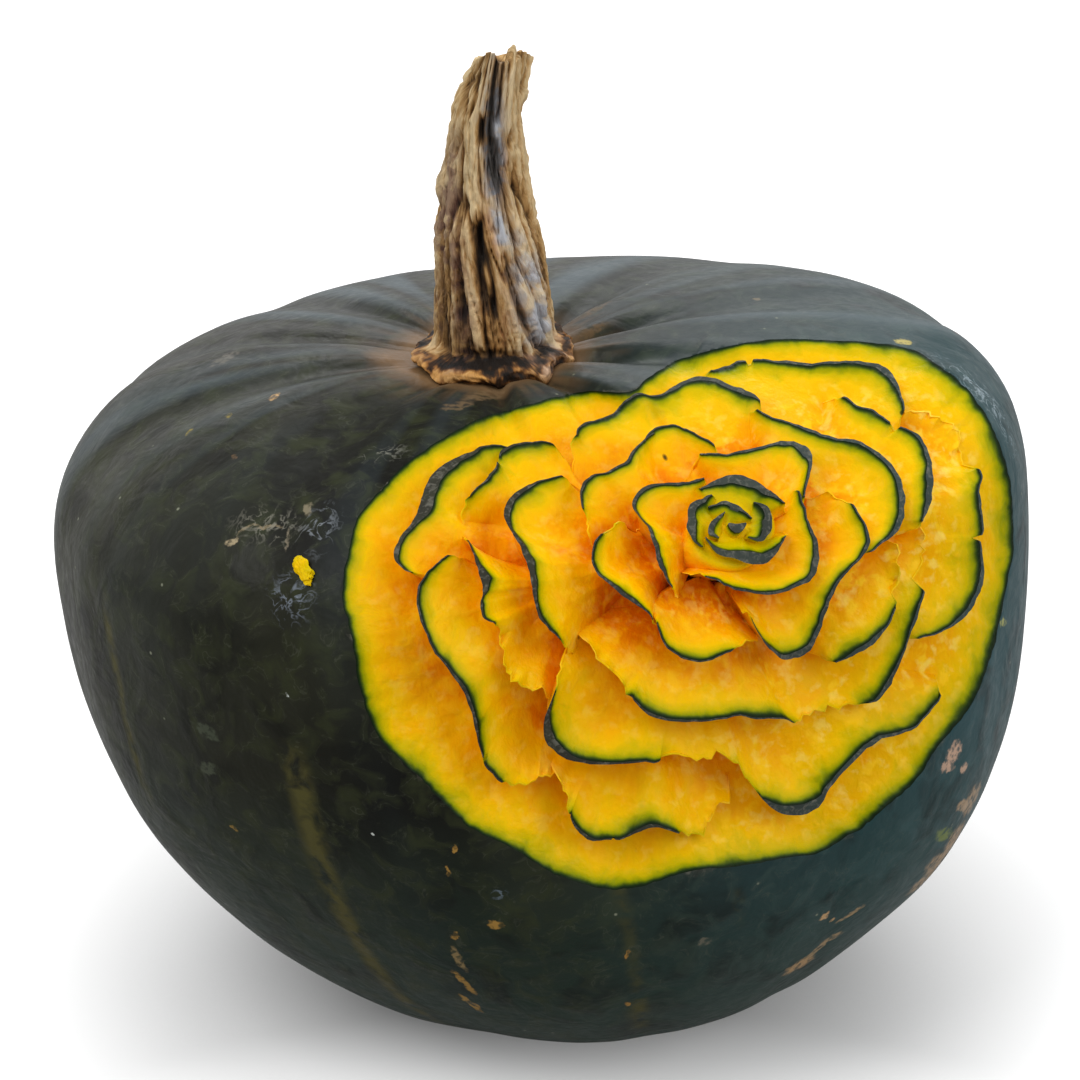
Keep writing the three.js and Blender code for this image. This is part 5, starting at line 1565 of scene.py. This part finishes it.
    def striped(self, tree: Tree, colour: object, meridian: object, where: object) -> object:
        """Adds the pale stripes that run up from the blossom end.

        Args:
            tree: the material's node tree.
            colour: the colour so far.
            meridian: turn round and fall down the fruit.
            where: places in millimetres.
        Returns:
            The colour after that.
        """
        node = partial(add, tree)
        parts = node("SeparateXYZ", {0: meridian})
        turn = node("Math", {0: parts.outputs["Y"], 1: parts.outputs["X"]}, operation="ARCTAN2")
        ragged = node("TexNoise", {"Vector": where, "Scale": 1 / 4, "Detail": 4, "Distortion": 0.5})
        for stripe in self.stripes:
            down = node("Math", {0: parts.outputs["Z"], 1: stripe.top / QUARTER_TURN}, operation="SUBTRACT")
            line = node("Math", {0: down, 1: math.pi / 2 * stripe.lean, 2: math.radians(stripe.turn)},
                        operation="MULTIPLY_ADD")
            aside = node("Math", {0: turn, 1: line}, operation="SUBTRACT")
            aside = node("Math", {0: aside}, operation="ABSOLUTE")
            share = node("MapRange", {"Value": aside, "From Min": 0, "To Min": 1, "To Max": 0,
                                      "From Max": math.radians(stripe.width)},
                         interpolation_type="SMOOTHSTEP")
            top = node("MapRange", {"Value": down, "From Min": 0, "From Max": 0.05})
            end = node("MapRange", {"Value": parts.outputs["Z"], "To Min": 1, "To Max": 0,
                                    "From Min": (stripe.bottom - self.stripe_fade) / QUARTER_TURN,
                                    "From Max": stripe.bottom / QUARTER_TURN})
            torn = node("MapRange", {"Value": ragged, "From Min": 0.35, "From Max": 0.6,
                                     "To Max": 2 * stripe.strength})
            for part in (top, end, torn):
                share = node("Math", {0: share, 1: part}, operation="MULTIPLY", use_clamp=part is torn)
            colour = node("Mix", {"Factor": share, "A": colour, "B": self.olive}, data_type="RGBA")
        return colour

    def marked(self, tree: Tree, colour: object, where: object) -> object:
        """Adds the marks, with ragged edges.

        Args:
            tree: the material's node tree.
            colour: the colour so far.
            where: places in millimetres.
        Returns:
            The colour after that.
        """
        node = partial(add, tree)
        shift = node("TexNoise", {"Vector": where, "Scale": 1 / 1.6, "Detail": 4})
        shift = node("VectorMath", {0: shift.outputs["Color"], 1: (0.5, 0.5, 0.5)}, operation="SUBTRACT")
        shift = node("VectorMath", {0: shift, "Scale": 2.6}, operation="SCALE")
        bent = node("VectorMath", {0: where, 1: shift}, operation="ADD")
        net = node("TexNoise", {"Vector": where, "Scale": 1 / 3.6, "Detail": 5, "Distortion": 1.4})
        net = node("Math", {0: net, 1: 0.5}, operation="SUBTRACT")
        net = node("Math", {0: net}, operation="ABSOLUTE")
        net = node("MapRange", {"Value": net, "From Min": 0.005, "From Max": 0.045, "To Min": 1,
                                "To Max": 0})
        broken = node("TexNoise", {"Vector": where, "Scale": 1 / 1.3, "Detail": 3})
        broken = node("MapRange", {"Value": broken, "From Min": 0.38, "From Max": 0.54, "To Min": 0.15})
        net = node("Math", {0: net, 1: broken}, operation="MULTIPLY")
        for mark in self.marks:
            local = node("Mapping", {"Vector": bent, **mark.frame(self.plan)}, vector_type="TEXTURE")
            away = node("VectorMath", {0: local}, operation="LENGTH").outputs["Value"]
            scuffed = mark.kind is MarkKind.SCUFF
            inner, outer, texture = (0.3, 1.3, net) if scuffed else (0.7, 1.05, broken)
            share = node("MapRange", {"Value": away, "From Min": inner, "From Max": outer,
                                      "To Min": mark.strength, "To Max": 0})
            share = node("Math", {0: share, 1: texture}, operation="MULTIPLY")
            colour = node("Mix", {"Factor": share, "A": colour, "B": mark.colour}, data_type="RGBA")
        return colour


@dataclass(frozen=True)
class Flesh:
    """Cut raw squash flesh: moist, finely fibrous, green just under the rind and orange deep in, where the
    darkest orange in the hollows is partly painted shade.
    """

    plan: RosePlan
    deepest: float = 16
    rind_bit: str = "#1C2A18"
    # colours by depth in millimetres; the darker oranges deep in the hollows between petals are partly
    # painted shade
    stops: tuple[tuple[float, str], ...] = (
        (0.0, "#10190D"), (0.18, "#1A2C10"), (0.32, "#44560A"), (0.55, "#8E9400"), (1.0, "#C8B200"),
        (2.0, "#EEBE00"), (4, "#F9B500"), (6.8, "#F4A200"), (9.5, "#E98900"), (13, "#D86E00"))
    specks: tuple[Mark, ...] = (
        Mark((-12.1, 11.7), (0.5, 0.45), rind_bit, 0.9, 30, MarkKind.SPECK),
        Mark((-27, -19.5), (0.3, 0.5), "#8A5A10", 0.8, 0, MarkKind.SPECK),
        Mark((-6, -9.1), (0.35, 0.3), rind_bit, 0.9, 0, MarkKind.SPECK),
        Mark((28.9, 19.4), (0.5, 0.3), rind_bit, 0.9, -20, MarkKind.SPECK))

    def material(self) -> bpy.types.Material:
        """Builds the flesh's material.

        Returns:
            The material.
        """
        material, tree = new_material("cut_squash_flesh")
        node = partial(add, tree)
        where = node("Mapping", {"Vector": node("TexCoord").outputs["Object"], "Scale": TO_MM})
        depth = node("Attribute", attribute_name="depth").outputs["Fac"]
        patches = node("TexNoise", {"Vector": where, "Scale": 1 / 5, "Detail": 4, "Distortion": 0.4})
        fibres = node("TexNoise", {"Vector": node("Mapping", {"Vector": where, "Scale": (1, 1, 0.4)}),
                                   "Scale": 1 / 1.1, "Detail": 3})
        wet = node("TexNoise", {"Vector": node("Mapping", {"Vector": where, "Location": (31, 7, 3)}),
                                "Scale": 1 / 3.6, "Detail": 6, "Distortion": 0.3})
        colour = self.ripened_and_shaded(tree, where, depth, patches)
        colour = self.moistened_with_painted_sheen(tree, colour, where, depth, fibres, wet)
        colour = self.specked(tree, colour, where)
        bump = node("Bump", {"Strength": 0.6, "Distance": 0.0008, "Height": patches})
        bump = node("Bump", {"Strength": 0.6, "Distance": 0.0008, "Height": wet, "Normal": bump})
        bump = node("Bump", {"Strength": 0.45, "Distance": 0.0002, "Height": fibres, "Normal": bump})
        shader = node("BsdfPrincipled", {
            "Base Color": colour, "Roughness": 0.32, "Normal": bump, "Specular IOR Level": 0.05,
            "Subsurface Weight": 0.12, "Subsurface Radius": (1.0, 0.55, 0.1), "Subsurface Scale": 0.0012})
        node("OutputMaterial", {"Surface": shader})
        return material

    def ripened_and_shaded(self, tree: Tree, where: object, depth: object, patches: object) -> object:
        """Colours the flesh by its depth: green under the rind, deeper orange near the bud, partly painted
        shade under the close inner petals, and deeper orange higher up, painted shade against the light
        from above.

        Args:
            tree: the material's node tree.
            where: places in millimetres.
            depth: depth below the rind.
            patches: a noise that varies it.
        Returns:
            The colour.
        """
        node = partial(add, tree)
        clouds = node("TexNoise", {"Vector": where, "Scale": 1 / 13, "Detail": 3, "Distortion": 0.5})
        bud = self.plan.on_skin(np.zeros((1, 2)))[0] + self.plan.skin.centre
        away = node("VectorMath", {0: where, 1: tuple(bud)}, operation="DISTANCE").outputs["Value"]
        height = node("SeparateXYZ", {0: where}).outputs["Z"]
        share = depth
        # the distance from the bud and the height deepen the colour near the bud and higher up: painted
        # shade
        for value, start, end, least, most in (
                (patches, 0.3, 0.7, 0.65, 1.4), (clouds, 0.35, 0.65, 0.75, 1.2), (away, 14, 32, 1.45, 0.85),
                (height, 85, 140, 0.95, 1.4)):
            part = node("MapRange", {"Value": value, "From Min": start, "From Max": end, "To Min": least,
                                     "To Max": most})
            share = node("Math", {0: share, 1: part}, operation="MULTIPLY")
        share = node("Math", {0: share, 1: self.deepest}, operation="DIVIDE")
        return node("ValToRGB", {0: share}, stops=[
            (place / self.deepest, code) for place, code in self.stops])

    def moistened_with_painted_sheen(self, tree: Tree, colour: object, where: object, depth: object,
                  fibres: object, wet: object) -> object:
        """Adds pale fibres, and on the right pale wet blotches and specks that are partly a painted wet
        sheen, and a painted glow on thin edges, as if light came through them.

        Args:
            tree: the material's node tree.
            colour: the colour so far.
            where: places in millimetres.
            depth: depth below the rind.
            fibres: a fine noise.
            wet: a coarse noise.
        Returns:
            The colour after that.
        """
        node = partial(add, tree)
        crest = node("Attribute", attribute_name="crest").outputs["Fac"]
        froth_and_glint = node("TexNoise", {"Vector": where, "Scale": 1 / 2.6, "Detail": 4, "Distortion": 0.2})
        right = node("SeparateXYZ", {0: where}).outputs["X"]
        deep, right, pale, blotch, froth_and_glint, thin = (
            node("MapRange", {"Value": value, "From Min": start, "From Max": end, "To Min": least,
                              "To Max": most})
            for value, start, end, least, most in (
                (depth, 1.2, 3.5, 0, 1), (right, 15, 60, 0.3, 1), (fibres, 0.48, 0.75, 0, 0.4),
                (wet, 0.52, 0.62, 0, 1), (froth_and_glint, 0.53, 0.66, 0, 0.6), (depth, 0.8, 1.6, 0, 0.65)))
        pale = node("Math", {0: pale, 1: deep}, operation="MULTIPLY")
        for side in (right, deep):
            blotch = node("Math", {0: blotch, 1: side}, operation="MULTIPLY")
            froth_and_glint = node("Math", {0: froth_and_glint, 1: side}, operation="MULTIPLY")
        thin = node("Math", {0: thin, 1: crest}, operation="MULTIPLY")
        # the wet blotches and pale specks on the right are partly a painted wet sheen, and the crest tint
        # is a painted glow on thin edges
        for share, tint in ((pale, "#FFC405"), (blotch, "#FFCB1C"), (froth_and_glint, "#FFE06A"), (thin, "#FFD024")):
            colour = node("Mix", {"Factor": share, "A": colour, "B": tint}, data_type="RGBA")
        return colour

    def specked(self, tree: Tree, colour: object, where: object) -> object:
        """Adds the few dark flecks.

        Args:
            tree: the material's node tree.
            colour: the colour so far.
            where: places in millimetres.
        Returns:
            The colour after that.
        """
        node = partial(add, tree)
        for speck in self.specks:
            local = node("Mapping", {"Vector": where, **speck.frame(self.plan)}, vector_type="TEXTURE")
            away = node("VectorMath", {0: local}, operation="LENGTH").outputs["Value"]
            inside = node("MapRange", {"Value": away, "From Min": 0.6, "From Max": 1.1,
                                       "To Min": speck.strength, "To Max": 0})
            colour = node("Mix", {"Factor": inside, "A": colour, "B": speck.colour}, data_type="RGBA")
        return colour


@dataclass(frozen=True)
class Cork:
    """Dry squash stem: matt cork, tan on its ridges and nearly black in its cracks, partly its own colour
    and partly painted shade in the hollows.
    """

    def material(self) -> bpy.types.Material:
        """Builds the stem's material.

        Returns:
            The material.
        """
        material, tree = new_material("dry_cork_stem")
        node = partial(add, tree)
        where = node("Mapping", {"Vector": node("TexCoord").outputs["Object"], "Scale": TO_MM})
        grain = node("Attribute", attribute_name="grain").outputs["Vector"]
        relief = node("Attribute", attribute_name="relief").outputs["Fac"]
        tint = node("SeparateXYZ", {0: node("Attribute", attribute_name="tint").outputs["Vector"]})
        streaks = node("TexNoise", {"Vector": grain, "Scale": 1 / 0.9, "Detail": 5, "Roughness": 0.7,
                                    "Distortion": 0.4})
        patches = node("TexNoise", {"Vector": where, "Scale": 1 / 4, "Detail": 4, "Distortion": 0.6})
        # colour follows the relief: paler on ridges, darker in cracks and pits, partly painted shade
        spread = node("Math", {0: streaks, 1: 7.0}, operation="MULTIPLY")
        height = node("Math", {0: relief, 1: 2.0, 2: spread}, operation="MULTIPLY_ADD")
        shade = node("MapRange", {"Value": height, "From Min": 0.2, "From Max": 5.4})
        colour = node("ValToRGB", {0: shade}, stops=[
            (0.0, "#20170E"), (0.22, "#463420"), (0.4, "#6E512E"), (0.56, "#9C7644"), (0.74, "#C8A066"),
            (1.0, "#EED4A4")])
        blotch = node("MapRange", {"Value": patches, "From Min": 0.42, "From Max": 0.6})
        blue = node("ValToRGB", {0: shade}, stops=[
            (0.0, "#383634"), (0.35, "#575350"), (0.65, "#7A7A7E"), (1.0, "#C8CBD2")])
        purple = node("ValToRGB", {0: shade}, stops=[
            (0.0, "#0C0808"), (0.4, "#33241F"), (0.7, "#6A4A3C"), (1.0, "#A88A70")])
        orange = node("ValToRGB", {0: shade}, stops=[
            (0.0, "#140B04"), (0.35, "#442A12"), (0.6, "#8E5E2A"), (1.0, "#D29A50")])
        for stain, axis in ((orange, "Z"), (purple, "Y"), (blue, "X")):
            share = node("Math", {0: blotch, 1: 0.35}, operation="ADD")
            share = node("Math", {0: share, 1: tint.outputs[axis]}, operation="MULTIPLY", use_clamp=True)
            colour = node("Mix", {"Factor": share, "A": colour, "B": stain}, data_type="RGBA")
        bump = node("Bump", {"Strength": 1.0, "Distance": 0.0012, "Height": streaks})
        shader = node("BsdfPrincipled", {"Base Color": colour, "Roughness": 0.66, "Normal": bump,
                                         "Specular IOR Level": 0.3})
        node("OutputMaterial", {"Surface": shader})
        return material


# ---------------------------------------------------------------- floor, light and camera

@dataclass
class Studio:
    """A pale floor, soft light and the camera."""

    eye: tuple[float, float, float] = (-2.0, -535.9, 344.7)
    look_down: float = math.radians(25)
    lens: float = 100
    sensor: float = 36

    def build(self) -> None:
        """Sets the scene up round the fruit."""
        self.camera()
        self.floor()
        self.world()
        self.lamp("key_lamp", (-0.9, -0.7, 1.5), 1.1, 12.5)
        self.lamp("fill_lamp", (1.3, -0.8, 0.9), 1.0, 8)
        self.lamp("back_lamp", (0.1, 1.2, 1.3), 1.0, 8)
        bpy.context.scene.view_settings.view_transform = "Standard"

    def camera(self) -> None:
        """Adds the camera."""
        deselect_all()
        bpy.ops.object.camera_add(location=[length * MM for length in self.eye],
                                  rotation=(math.pi / 2 - self.look_down, 0, 0))
        camera = bpy.context.active_object
        camera.data.lens = self.lens
        camera.data.sensor_width = self.sensor
        camera.data.clip_end = 50
        bpy.context.scene.camera = camera

    def lamp(self, name: str, place: tuple[float, float, float], size: float, power: float) -> None:
        """Adds a square soft lamp that faces the fruit.

        Args:
            name: the lamp's name.
            place: where it stands, in metres.
            size: its width in metres.
            power: its power in watts.
        """
        deselect_all()
        aim = (Vector((0, 0, 0.07)) - Vector(place)).to_track_quat("-Z", "Y")
        bpy.ops.object.light_add(type="AREA", location=place, rotation=aim.to_euler())
        lamp = bpy.context.active_object
        lamp.name = name
        lamp.data.size = size
        lamp.data.energy = power

    def floor(self) -> None:
        """Adds the floor, which stays white to the camera but for the fruit's shadow, deepened near the
        fruit by a painted contact shadow from ambient occlusion and lightened in front of it.
        """
        deselect_all()
        bpy.ops.mesh.primitive_plane_add(size=12)
        floor = take_new("studio_floor")
        material, tree = new_material("white_paper_floor")
        node = partial(add, tree)
        paper = node("BsdfDiffuse", {"Color": "#A8A8A8"})
        bright = node("BsdfDiffuse", {"Color": "#F8F8F8"})
        lift = node("Emission", {"Color": "#FFFFFF", "Strength": 0.24})
        seen = node("LightPath").outputs["Is Camera Ray"]
        both = node("AddShader", {0: bright, 1: lift})
        # painted contact shadow: ambient occlusion darkens the floor near the fruit, and the front is kept
        # light
        open_sky = node("AmbientOcclusion", {"Distance": 0.05}).outputs["AO"]
        clear = node("MapRange", {"Value": open_sky, "From Min": 0.15, "From Max": 1, "To Min": 0.32})
        depth = node("SeparateXYZ", {0: node("TexCoord").outputs["Object"]}).outputs["Y"]
        front = node("MapRange", {"Value": depth, "From Min": 0, "From Max": -0.06},
                     interpolation_type="SMOOTHSTEP")
        clear = node("Math", {0: clear, 1: front}, operation="MAXIMUM")
        seen = node("Math", {0: seen, 1: clear}, operation="MULTIPLY")
        shader = node("MixShader", {0: seen, 1: paper, 2: both})
        node("OutputMaterial", {"Surface": shader})
        floor.data.materials.append(material)

    def world(self) -> None:
        """Sets a soft even sky, which is white to the camera and in reflections."""
        world = bpy.data.worlds.new("studio_sky")
        world.use_nodes = True
        tree = world.node_tree
        tree.nodes.clear()
        node = partial(add, tree)
        path = node("LightPath")
        seen = node("Math", {0: path.outputs["Is Camera Ray"], 1: path.outputs["Is Glossy Ray"]},
                    operation="MAXIMUM")
        seen = node("Math", {0: seen, 1: path.outputs["Is Transmission Ray"]}, operation="MAXIMUM")
        up = node("SeparateXYZ", {0: node("TexCoord").outputs["Generated"]})
        soft = node("MapRange", {"Value": up.outputs["Z"], "From Min": -0.1, "From Max": 0.9,
                                 "To Min": 0.2, "To Max": 0.9})
        strength = node("Mix", {"Factor": seen, "A": soft, "B": 1.0})
        sky = node("Background", {"Color": "#FFFFFF", "Strength": strength})
        node("OutputWorld", {"Surface": sky})
        bpy.context.scene.world = world


def dress_fruit(piece: Piece, rind: Rind, flesh: Flesh) -> None:
    """Gives the skin its rind and every cut face its flesh, by how deep a face lies.

    Args:
        piece: the fruit.
        rind: the finish of the skin.
        flesh: the finish of the cut faces.
    """
    piece.data.materials.clear()
    piece.data.materials.append(rind.material())
    piece.data.materials.append(flesh.material())
    depth = np.empty(len(piece.data.vertices))
    piece.data.attributes["depth"].data.foreach_get("value", depth)
    cut = [int(depth[list(face.vertices)].max() > RIND_DEPTH) for face in piece.data.polygons]
    piece.data.polygons.foreach_set("material_index", cut)


def hand_over(piece: Piece, node: str) -> None:
    """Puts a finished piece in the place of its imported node."""
    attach(piece, "root")
    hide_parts(node)
    log.info("%s: %d faces", piece.name, len(piece.data.polygons))


def main() -> None:
    """Builds the squash, the stem, the crumb and the studio, and finishes."""
    logging.basicConfig(level=logging.INFO, format="%(message)s")
    Studio().build()
    skin = Skin()
    fruit = Fruit(skin).build()
    dress_fruit(fruit, Rind(RosePlan(skin)), Flesh(RosePlan(skin)))
    hand_over(fruit, "fruit")
    stem = Stem(skin).build()
    stem.data.materials.append(Cork().material())
    hand_over(stem, "stem")
    crumb = Crumb(skin).build()
    crumb.data.materials.append(Flesh(RosePlan(skin)).material())
    hand_over(crumb, "flesh_crumb")


if __name__ == "__main__":
    main()
